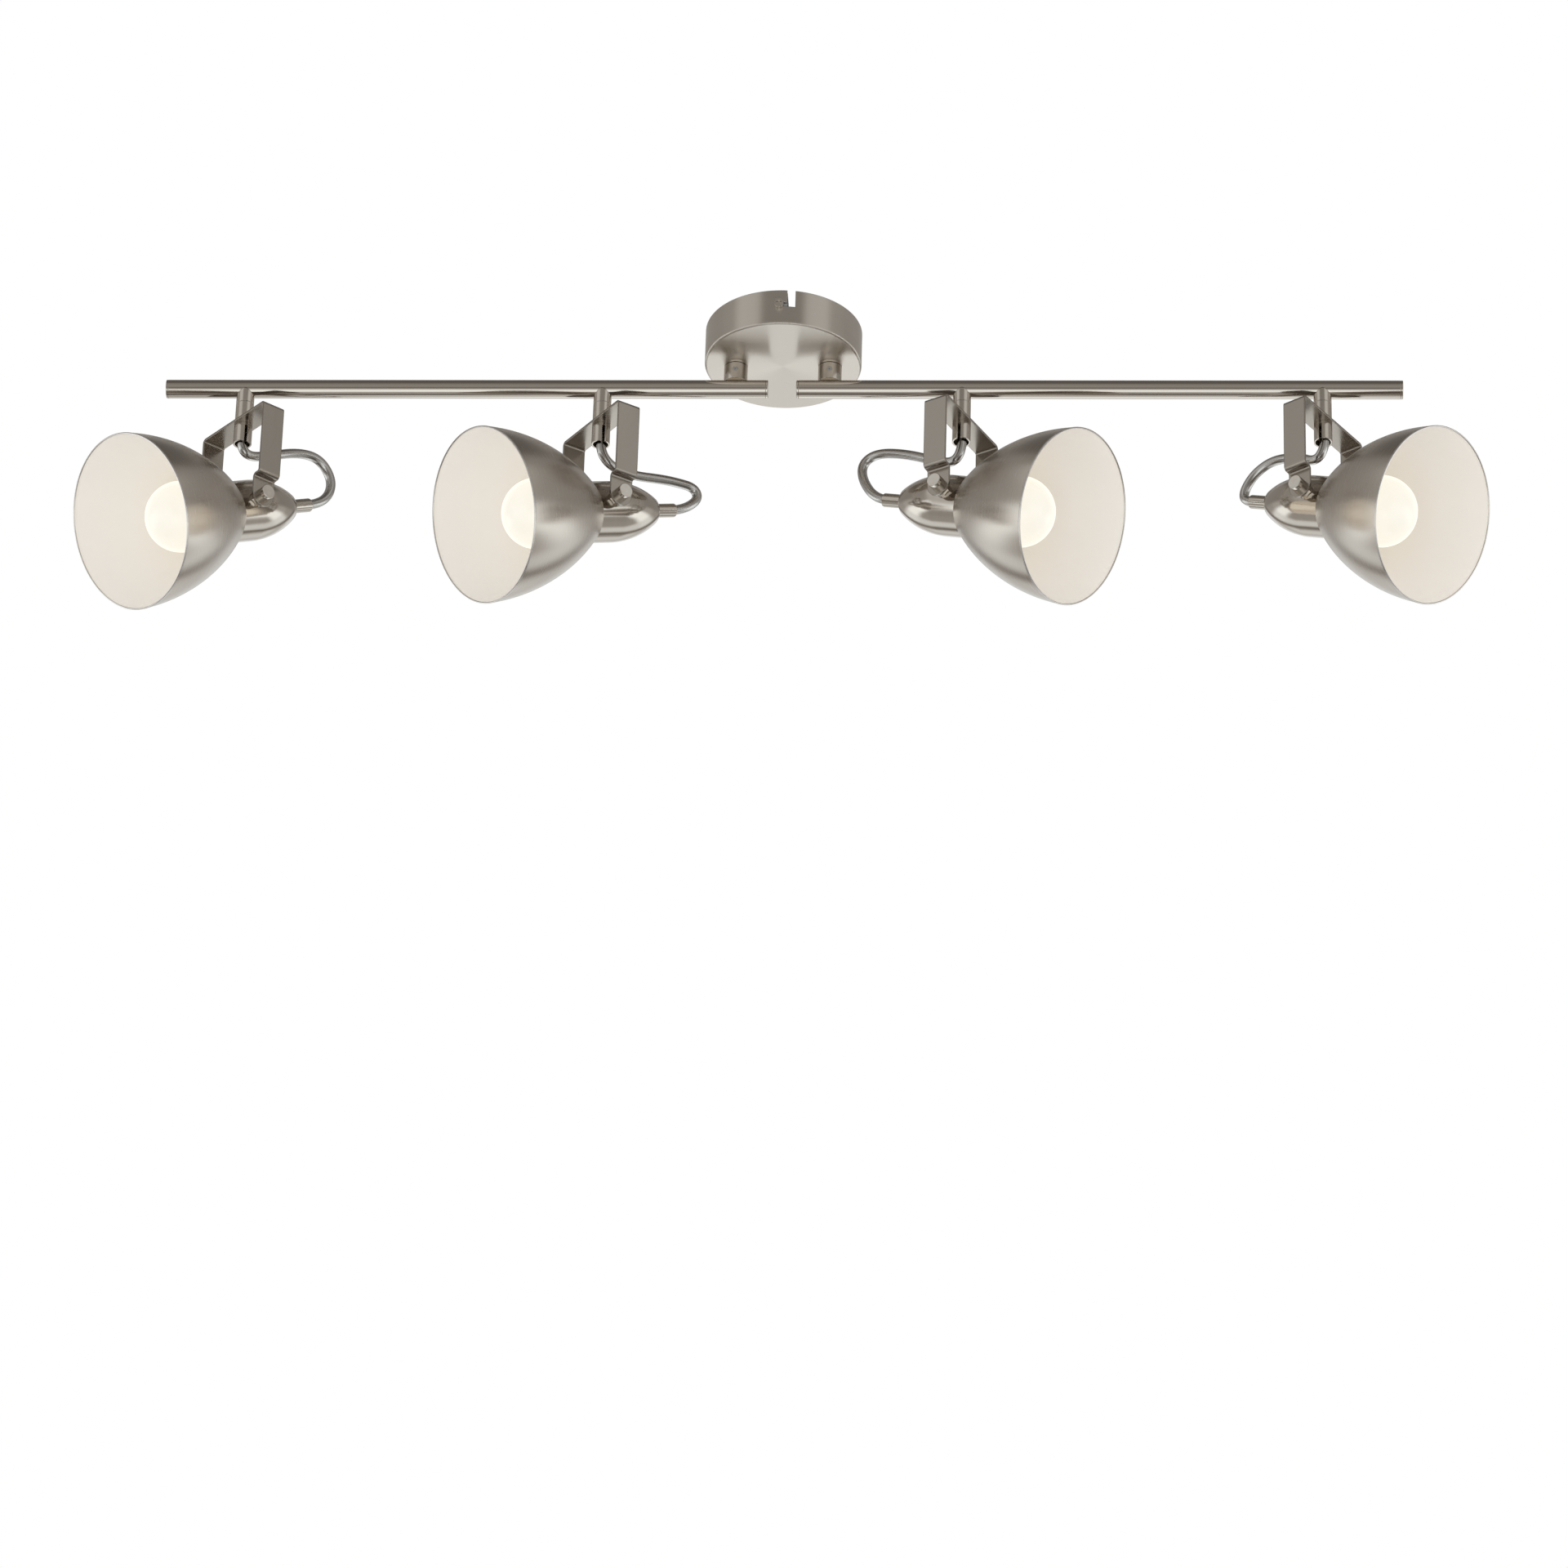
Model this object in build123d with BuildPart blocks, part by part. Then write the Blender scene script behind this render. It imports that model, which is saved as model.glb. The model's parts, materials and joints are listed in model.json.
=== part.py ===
# Ceiling spot bar: a round canopy, two swivelling tubes and four bell-shade spot heads.
# Millimetres. The origin is the centre of the ceiling plane, +Z is up and +X runs along the tubes.
# The front of the lamp is the -Y side.
from math import atan2
from math import cos
from math import hypot
from math import pi
from math import radians
from math import sin
from math import tan
import os

from build123d import *

# Clearances
running_gap = 0.05  # radial, a shaft that turns in its hole
seat_gap = 0.1  # radial, a piece that is fixed in its hole
face_gap = 0.15  # along an axis, between faces that turn on each other
slot_gap = 0.4  # across a slot, round the screw that slides in it
bend_share = 0.45  # of the shorter run beside a bend, taken up by half of the bend

# Canopy and what it holds
canopy_diameter = 100.0
canopy_height = 25.0
canopy_wall = 1.0
canopy_edge_radius = 1.5
stem_inset = 20.0  # from the edge of the canopy to each stem axis
ceiling_strip_width = 20.0
ceiling_strip_middle = 44.0  # length of the wide middle of the strip
ceiling_end_width = 8.5
ceiling_strip_thickness = 1.5
ceiling_strip_bend = 2.0
ceiling_tab_drop = 16.0
ceiling_hole_spacing = 60.0
ceiling_hole_diameter = 4.5
ceiling_slot_length = 12.0
canopy_screw_diameter = 3.0
canopy_screw_head = 6.0
canopy_screw_head_height = 2.2
canopy_screw_drop = 10.4  # below the ceiling
canopy_screw_offset = 1.0  # sideways from the middle of the front
canopy_screw_reach = 3.0  # behind the middle of the bracket's tab
bayonet_turn = 7.7  # from the screw's seat to the upright leg of its slot
bayonet_leg_width = 5.1
cross_slot_length = 3.6
cross_slot_width = 0.9
cross_slot_depth = 1.1
terminal_length = 24.0
terminal_width = 16.0
terminal_height = 9.0
terminal_edge = 1.0
terminal_entry_drop = 4.5  # below the top of the block
terminal_screw_pitch = 8.0
terminal_screw_diameter = 3.0
terminal_screw_depth = 1.8
lead_diameter = 3.0

# Stems
stem_diameter = 15.0
stem_floor = 3.0
stem_overlap = 1.5  # how far the sleeve comes down over the crown of the tube
stem_edge = 0.4
stud_diameter = 10.0
stud_bore = 6.0
stud_flange_height = 0.8
stud_top_above_floor = 8.5
stud_groove_depth = 0.8
stud_groove_width = 3.4
stud_nut_flats = 14.0
stud_nut_height = 4.5
stud_washer_diameter = 18.0
stud_washer_height = 1.0
set_screw_diameter = 3.0
set_screw_drop = 6.5  # below the canopy's lower face
set_screw_recess = 0.3
set_screw_socket = 1.5  # across the corners
set_screw_socket_depth = 1.0

# Tubes
bar_drop = 17.5  # from the canopy's lower face to the axis of the tubes
bar_diameter = 12.0
bar_wall = 1.0
bar_length = 382.6
bar_overhang = 19.8  # from the stem axis to the inner end of the tube
outer_post_inset = 49.8  # from the outer end of the tube to the outer head's post
inner_post_inset = 104.3  # from the inner end of the tube to the inner head's post
plug_flange = 1.2
plug_spigot = 6.0
plug_edge_radius = 0.5
bar_end_edge = 0.3
bar_lead_lift = 3.0  # of the lead above the axis of the tube
bar_lead_bend = 4.0

# Head posts and brackets
post_diameter = 11.4
stub_drop = 11.7  # below the axis of the tube
web_drop = 26.0  # from the axis of the tube to the top of the bracket's web
bracket_span = 67.0
strip_width = 15.5
strip_thickness = 1.5
strip_bend = 2.0
arm_drop = 52.5  # from the top of the web to the foot of the arms
ear_step = 5.5  # how far the ears are set in from the arms
pivot_drop = 64.5  # from the top of the web to the tilt axis
clamp_diameter = 11.6
clamp_bore = 9.6
clamp_length = 13.5
clamp_roof = 2.0
clamp_slit = 1.8
clamp_slit_turn = 15.0  # degrees from the side of the head towards its front
clamp_screw_diameter = 3.0
clamp_screw_turn = 75.0  # degrees from the side of the head towards its back
nipple_diameter = 8.0
nipple_bore = 5.0
nipple_nut_diameter = 9.0
nipple_nut_height = 2.5
nipple_nut_drop = 1.9  # from the axis of the tube to the underside of the nut
pivot_screw_diameter = 4.0
pivot_head_diameter = 9.4
pivot_head_height = 6.0
pivot_head_edge = 0.4
pivot_thread_reach = 3.0  # of the screw's end inside the flat on the housing

# Lamp heads, measured along the head's own axis from the tilt axis, forwards positive
housing_diameter = 39.0
housing_wall = 1.5
housing_front = 10.0
housing_straight = 18.0
housing_length = 53.5
housing_rear_diameter = 16.0
housing_rear_edge = 3.0
pivot_nut_flats = 7.0
pivot_nut_seat = 0.6  # depth of the flat on the housing under each pivot nut
pivot_seat_diameter = 9.8
gland_diameter = 8.8
gland_length = 16.5
gland_spigot_diameter = 7.4
gland_spigot = 4.0
gland_edge = 0.6
cable_diameter = 6.2
cable_fit = 0.15
shade_diameter = 111.0
shade_length = 78.5
shade_sheet = 0.8
shade_neck_diameter = 40.5
shade_rim_angle = 5.0  # degrees between the wall at the rim and the axis
holder_diameter = 27.8
holder_length = 42.0
holder_cap_gap = 0.5  # from the front of the holder to the glass of the bulb
holder_flange = 4.0
shade_ring_diameter = 37.0
shade_ring_height = 4.2
bulb_diameter = 45.0
bulb_length = 78.0
bulb_reach = 59.5  # from the front of the housing to the front of the globe
bulb_cap_diameter = 13.8
bulb_cap_length = 25.0
bulb_glass = 1.2
bulb_neck_diameter = 17.0
bulb_neck_bore = 10.0
bulb_neck_angle = 140.0  # degrees from the front of the globe to where its neck starts
bulb_tip_diameter = 7.0
bulb_tip_height = 2.0

# How the tubes and heads are set: roll of each tube about its own axis, then for each head
# the offset of its post from the stem, its heading and how far it looks down, in degrees.
outer_post_offset = bar_length - bar_overhang - outer_post_inset
inner_post_offset = inner_post_inset - bar_overhang
bar_settings = (("left", -1, 1.5), ("right", 1, -3.0))
head_settings = (
    ("outer_left", "left", outer_post_offset, 221.8, 25.6),
    ("inner_left", "left", inner_post_offset, 215.8, 20.1),
    ("inner_right", "right", inner_post_offset, -28.6, 22.9),
    ("outer_right", "right", outer_post_offset, -34.7, 25.2),
)

# Routes of the four cables in the upright plane of each head, chosen by hand: forwards from the
# post axis, then up from the tilt axis. The last two points, which lie on the axis of the gland,
# are worked out from the tails below.
cable_routes = {
    "outer_left": (
        (0.8, 55.2), (0.8, 47.3), (-5.5, 42.6), (-18.0, 47.6), (-42.5, 60.6), (-60.0, 62.8),
        (-70.4, 52.0), (-69.6, 39.5),
    ),
    "inner_left": (
        (0.2, 55.4), (0.2, 45.0), (-8.0, 36.4), (-23.5, 35.0), (-46.0, 40.0), (-57.5, 41.6),
        (-71.2, 42.4), (-74.8, 34.8),
    ),
    "inner_right": (
        (0.6, 52.8), (0.6, 42.8), (-5.6, 35.2), (-17.8, 41.0), (-41.0, 54.4), (-62.0, 62.0),
        (-73.0, 57.0), (-72.0, 43.5),
    ),
    "outer_right": (
        (1.5, 55.0), (1.5, 45.8), (-5.5, 36.8), (-18.5, 45.6), (-37.0, 51.2), (-51.5, 46.6),
        (-60.2, 36.0),
    ),
}
# From the end of the gland to the last bend of the cable, and the length of its last run.
cable_tails = {
    "outer_left": (7.5, 12.0),
    "inner_left": (7.0, 12.0),
    "inner_right": (7.0, 12.0),
    "outer_right": (6.0, 7.0),
}

# Worked out from the sizes above
stem_spacing = canopy_diameter - 2 * stem_inset
canopy_floor_z = canopy_wall - canopy_height
bar_z = -canopy_height - bar_drop
bar_radius = bar_diameter / 2
stem_top_z = -canopy_height - stud_flange_height - face_gap
stem_bottom_z = bar_z + bar_radius - stem_overlap
stem_floor_z = stem_bottom_z + stem_floor
stud_top_z = canopy_floor_z + stud_top_above_floor
set_screw_z = -canopy_height - set_screw_drop
arm_face = bracket_span / 2
ear_face = arm_face - ear_step
ear_back = ear_face - strip_thickness
housing_rear = housing_front - housing_length
gland_end = housing_rear - gland_length
tilt_axis_drop = web_drop + pivot_drop

os.makedirs("parts", exist_ok=True)


def save(piece, label):
    """Label a finished piece and write its STEP file."""
    piece.part.label = label
    export_step(piece.part, f"parts/{label}.step")


def level_plane(frame, height):
    """A plane across the frame's own Z axis, at a height on it."""
    return Plane(frame * Location((0, 0, height)))


def side_plane(frame):
    """A plane with the frame's X to the right and its Z up."""
    return Plane(frame * Plane.XZ.location)


def front_plane(frame):
    """A plane with the frame's Y to the right and its Z up."""
    return Plane(frame * Plane.YZ.location)


def forward_axis(frame):
    """The frame's own X axis."""
    return Axis(frame.position, Plane(frame).x_dir)


def bend_radii(points):
    """A radius for each inner point of a route, as large as the two runs beside it allow."""
    radii = []
    for before, here, after in zip(points, points[1:], points[2:]):
        run_in = (here[0] - before[0], here[1] - before[1])
        run_out = (after[0] - here[0], after[1] - here[1])
        cross = run_in[0] * run_out[1] - run_in[1] * run_out[0]
        along = run_in[0] * run_out[0] + run_in[1] * run_out[1]
        turn = abs(atan2(cross, along))
        shorter = min(hypot(*run_in), hypot(*run_out))
        radii.append(bend_share * shorter / tan(turn / 2))
    return radii


# Canopy cup: a drawn cup, open at the ceiling, with two stem holes and two bayonet slots
with BuildPart() as canopy_cup:
    with BuildSketch():
        Circle(canopy_diameter / 2)
    extrude(amount=-canopy_height)
    fillet(canopy_cup.faces().sort_by(Axis.Z)[0].edges(), canopy_edge_radius)
    offset(amount=-canopy_wall, openings=canopy_cup.faces().sort_by(Axis.Z)[-1])
    with BuildSketch(Plane.XY.offset(-canopy_height)):
        with GridLocations(stem_spacing, 0, 2, 1):
            Circle(stud_diameter / 2 + seat_gap)
    extrude(amount=2 * canopy_wall, mode=Mode.SUBTRACT)
    slot_width = canopy_screw_diameter + slot_gap
    for facing in (1, -1):
        wall_plane = Plane((0, 0, 0), x_dir=(facing, 0, 0), z_dir=(0, -facing, 0))
        with BuildSketch(wall_plane.offset(canopy_diameter / 2 - 4 * canopy_wall)):
            with Locations((bayonet_turn / 2 - canopy_screw_offset, -canopy_screw_drop)):
                SlotCenterToCenter(bayonet_turn, slot_width)
            with Locations((bayonet_turn - canopy_screw_offset, 0)):
                Rectangle(
                    bayonet_leg_width,
                    canopy_screw_drop + slot_width / 2,
                    align=(Align.CENTER, Align.MAX),
                )
        extrude(amount=6 * canopy_wall, mode=Mode.SUBTRACT)
save(canopy_cup, "canopy_cup")

# Ceiling bracket: a strip with its two narrow ends bent down behind the canopy wall
tab_reach = (
    ((canopy_diameter / 2 - canopy_wall) ** 2 - (ceiling_end_width / 2) ** 2) ** 0.5
    - slot_gap
    - ceiling_strip_thickness / 2
)
with BuildPart() as ceiling_bracket:
    with BuildSketch(Plane.YZ):
        with BuildLine():
            FilletPolyline(
                (-tab_reach, -ceiling_tab_drop),
                (-tab_reach, -ceiling_strip_thickness / 2),
                (tab_reach, -ceiling_strip_thickness / 2),
                (tab_reach, -ceiling_tab_drop),
                radius=ceiling_strip_bend,
            )
        trace(line_width=ceiling_strip_thickness)
    extrude(amount=ceiling_strip_width / 2, both=True)
    with BuildSketch():
        Rectangle(ceiling_strip_width, ceiling_strip_middle)
        Rectangle(ceiling_end_width, canopy_diameter)
    extrude(amount=canopy_height, both=True, mode=Mode.INTERSECT)
    with BuildSketch(Plane.XY.offset(-2 * ceiling_strip_thickness)):
        with GridLocations(0, ceiling_hole_spacing, 1, 2):
            SlotOverall(ceiling_slot_length, ceiling_hole_diameter, rotation=90)
    extrude(amount=3 * ceiling_strip_thickness, mode=Mode.SUBTRACT)
    for facing in (1, -1):
        tab_plane = Plane((0, -facing * tab_reach, 0), x_dir=(facing, 0, 0), z_dir=(0, -facing, 0))
        with BuildSketch(tab_plane):
            with Locations((-canopy_screw_offset, -canopy_screw_drop)):
                Circle(canopy_screw_diameter / 2 + seat_gap)
        extrude(amount=ceiling_strip_thickness, both=True, mode=Mode.SUBTRACT)
save(ceiling_bracket, "ceiling_bracket")

# Canopy side screws, front and back
with BuildPart() as canopy_screws:
    for facing in (1, -1):
        wall_plane = Plane((0, 0, 0), x_dir=(facing, 0, 0), z_dir=(0, -facing, 0))
        seat = canopy_diameter / 2 + seat_gap
        with BuildSketch(wall_plane.offset(tab_reach - canopy_screw_reach)):
            with Locations((-canopy_screw_offset, -canopy_screw_drop)):
                Circle(canopy_screw_diameter / 2)
        extrude(amount=seat - tab_reach + canopy_screw_reach)
        with BuildSketch(wall_plane.offset(seat)):
            with Locations((-canopy_screw_offset, -canopy_screw_drop)):
                Circle(canopy_screw_head / 2)
        extrude(amount=canopy_screw_head_height)
        with BuildSketch(wall_plane.offset(seat + canopy_screw_head_height)):
            with Locations((-canopy_screw_offset, -canopy_screw_drop)):
                Rectangle(cross_slot_length, cross_slot_width)
                Rectangle(cross_slot_width, cross_slot_length)
        extrude(amount=-cross_slot_depth, mode=Mode.SUBTRACT)
save(canopy_screws, "canopy_screws")

# Terminal block under the ceiling strip, with an entry hole on each side for a lead
terminal_top_z = -ceiling_strip_thickness
terminal_entry_z = terminal_top_z - terminal_entry_drop
with BuildPart() as terminal_block:
    with BuildSketch(Plane.XY.offset(terminal_top_z)):
        Rectangle(terminal_width, terminal_length)
    extrude(amount=-terminal_height)
    fillet(terminal_block.edges().filter_by(Axis.Z), terminal_edge)
    with BuildSketch(Plane.YZ.offset(-terminal_width)):
        with Locations((0, terminal_entry_z)):
            Circle(lead_diameter / 2 + seat_gap)
    extrude(amount=2 * terminal_width, mode=Mode.SUBTRACT)
    with BuildSketch(Plane.XY.offset(terminal_top_z - terminal_height)):
        with GridLocations(terminal_screw_pitch, terminal_screw_pitch, 2, 3):
            Circle(terminal_screw_diameter / 2)
    extrude(amount=terminal_screw_depth, mode=Mode.SUBTRACT)
save(terminal_block, "terminal_block")

# Hollow stem studs: a flange under the canopy, a thread above it and a grooved spigot below
with BuildPart() as stem_studs:
    with BuildSketch(Plane.XY.offset(stud_top_z)):
        with GridLocations(stem_spacing, 0, 2, 1):
            Circle(stud_diameter / 2)
    extrude(amount=stem_floor_z + 2 * face_gap - stud_top_z)
    with BuildSketch(Plane.XY.offset(-canopy_height)):
        with GridLocations(stem_spacing, 0, 2, 1):
            Circle(stem_diameter / 2)
    extrude(amount=-stud_flange_height)
    with BuildSketch(Plane.XY.offset(set_screw_z)):
        with GridLocations(stem_spacing, 0, 2, 1):
            Circle(stud_diameter / 2 + seat_gap)
            Circle(stud_diameter / 2 - stud_groove_depth, mode=Mode.SUBTRACT)
    extrude(amount=stud_groove_width / 2, both=True, mode=Mode.SUBTRACT)
    with BuildSketch(Plane.XY):
        with GridLocations(stem_spacing, 0, 2, 1):
            Circle(stud_bore / 2)
    extrude(amount=bar_z, mode=Mode.SUBTRACT)
save(stem_studs, "stem_studs")

# Washers and nuts that hold the studs in the canopy
with BuildPart() as stem_washers:
    with BuildSketch(Plane.XY.offset(canopy_floor_z)):
        with GridLocations(stem_spacing, 0, 2, 1):
            Circle(stud_washer_diameter / 2)
            Circle(stud_diameter / 2 + seat_gap, mode=Mode.SUBTRACT)
    extrude(amount=stud_washer_height)
save(stem_washers, "stem_washers")

with BuildPart() as stem_nuts:
    with BuildSketch(Plane.XY.offset(canopy_floor_z + stud_washer_height)):
        with GridLocations(stem_spacing, 0, 2, 1):
            RegularPolygon(stud_nut_flats / 2, 6, major_radius=False)
            Circle(stud_diameter / 2 + seat_gap, mode=Mode.SUBTRACT)
    extrude(amount=stud_nut_height)
save(stem_nuts, "stem_nuts")

# Leads from the terminal block into the tops of the studs
lead_end_z = stud_top_z - lead_diameter
with BuildPart() as canopy_leads:
    for facing in (1, -1):
        stem_x = stem_spacing / 2
        block_x = terminal_width / 2
        lead_points = (
            (facing * (block_x - lead_diameter), terminal_entry_z),
            (facing * (block_x + stem_x) / 2, terminal_entry_z),
            (facing * stem_x, (terminal_entry_z + lead_end_z) / 2),
            (facing * stem_x, lead_end_z),
        )
        with BuildLine(Plane.XZ) as lead_path:
            FilletPolyline(*lead_points, radius=bend_radii(lead_points))
        with BuildSketch(Plane(lead_path.line @ 0, z_dir=lead_path.line % 0)):
            Circle(lead_diameter / 2)
        sweep(path=lead_path.line)
save(canopy_leads, "canopy_leads")

# The two tubes, each on its stem sleeve
for side_name, side, roll in bar_settings:
    stem_x = side * stem_spacing / 2
    inner_x = stem_x - side * bar_overhang
    outer_x = inner_x + side * bar_length
    bar_frame = Location((0, 0, bar_z)) * Location((0, 0, 0), (roll, 0, 0))
    stem_frame = Location((stem_x, 0, 0))
    post_offsets = [offset for _, bar, offset, _, _ in head_settings if bar == side_name]
    post_frames = [bar_frame * Location((stem_x + side * offset, 0, 0)) for offset in post_offsets]

    # Tube, with a wire hole under the stem and one over each head post
    with BuildPart() as bar:
        with BuildSketch(Plane((inner_x, 0, bar_z), z_dir=(side, 0, 0))):
            Circle(bar_radius)
            Circle(bar_radius - bar_wall, mode=Mode.SUBTRACT)
        extrude(amount=bar_length)
        end_rings = bar.edges().filter_by(GeomType.CIRCLE).sort_by(SortBy.RADIUS)[-2:]
        chamfer(end_rings, bar_end_edge)
        with BuildSketch(level_plane(stem_frame, bar_z)):
            Circle(stud_bore / 2)
        extrude(amount=bar_diameter, mode=Mode.SUBTRACT)
        for post_frame in post_frames:
            with BuildSketch(level_plane(post_frame, 0)):
                Circle(nipple_diameter / 2 + 2 * running_gap)
            extrude(amount=-bar_diameter, mode=Mode.SUBTRACT)
    save(bar, f"bar_{side_name}")

    # Sleeve that turns on the stud and carries the tube in a saddle
    with BuildPart() as stem_sleeve:
        with BuildSketch(level_plane(stem_frame, stem_bottom_z)):
            Circle(stem_diameter / 2)
        extrude(amount=stem_top_z - stem_bottom_z)
        chamfer(stem_sleeve.faces().sort_by(Axis.Z)[-1].edges(), stem_edge)
        with BuildSketch(level_plane(stem_frame, stem_floor_z)):
            Circle(stud_diameter / 2 + running_gap)
        extrude(amount=stem_top_z - stem_floor_z, mode=Mode.SUBTRACT)
        with BuildSketch(level_plane(stem_frame, stem_bottom_z)):
            Circle(stud_bore / 2)
        extrude(amount=stem_floor, mode=Mode.SUBTRACT)
        with BuildSketch(Plane((stem_x, 0, bar_z), z_dir=(side, 0, 0))):
            Circle(bar_radius)
        extrude(amount=stem_diameter, both=True, mode=Mode.SUBTRACT)
        with BuildSketch(Plane((stem_x, 0, set_screw_z), z_dir=(0, -1, 0))):
            Circle(set_screw_diameter / 2 + seat_gap)
        extrude(amount=stem_diameter, mode=Mode.SUBTRACT)
    save(stem_sleeve, f"stem_sleeve_{side_name}")

    # Set screw in the sleeve; its tip runs in the stud's groove and keeps the sleeve on
    tip_radius = stud_diameter / 2 - stud_groove_depth + face_gap
    with BuildPart() as set_screw:
        with BuildSketch(Plane((stem_x, -tip_radius, set_screw_z), z_dir=(0, -1, 0))):
            Circle(set_screw_diameter / 2)
        extrude(amount=stem_diameter / 2 - set_screw_recess - tip_radius)
        with BuildSketch(set_screw.faces().sort_by(Axis.Y)[0]):
            RegularPolygon(set_screw_socket / 2, 6)
        extrude(amount=-set_screw_socket_depth, mode=Mode.SUBTRACT)
    save(set_screw, f"stem_set_screw_{side_name}")

    # End plugs, one at each end of the tube
    with BuildPart() as bar_plugs:
        for end_x, outwards in ((inner_x, -side), (outer_x, side)):
            with BuildSketch(Plane((end_x, 0, bar_z), z_dir=(outwards, 0, 0))):
                Circle(bar_radius)
            extrude(amount=plug_flange)
            with BuildSketch(Plane((end_x, 0, bar_z), z_dir=(-outwards, 0, 0))):
                Circle(bar_radius - bar_wall - seat_gap)
            extrude(amount=plug_spigot)
        flange_edges = bar_plugs.edges().filter_by(GeomType.CIRCLE).group_by(Axis.X)
        fillet(flange_edges[0] + flange_edges[-1], plug_edge_radius)
    save(bar_plugs, f"bar_plugs_{side_name}")

    # Fixed stubs under the tube, saddled to it, which carry the head posts
    with BuildPart() as head_stubs:
        for post_frame in post_frames:
            with BuildSketch(level_plane(post_frame, -stub_drop)):
                Circle(post_diameter / 2)
                Circle(nipple_diameter / 2 + running_gap, mode=Mode.SUBTRACT)
            extrude(amount=stub_drop)
        with BuildSketch(Plane((inner_x, 0, bar_z), z_dir=(side, 0, 0))):
            Circle(bar_radius)
        extrude(amount=bar_length, mode=Mode.SUBTRACT)
    save(head_stubs, f"head_stubs_{side_name}")

    # Lead that comes down the stem and lies along the tube as far as the outer head
    lead_top = (stem_x, lead_end_z - face_gap)
    lead_corner = (stem_x, bar_z + bar_lead_lift)
    lead_far = (stem_x + side * max(post_offsets), bar_z + bar_lead_lift)
    with BuildPart() as bar_lead:
        with BuildLine(Plane.XZ) as lead_path:
            FilletPolyline(lead_top, lead_corner, lead_far, radius=bar_lead_bend)
        with BuildSketch(Plane(lead_path.line @ 0, z_dir=lead_path.line % 0)):
            Circle(lead_diameter / 2)
        sweep(path=lead_path.line)
    save(bar_lead, f"bar_lead_{side_name}")

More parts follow.
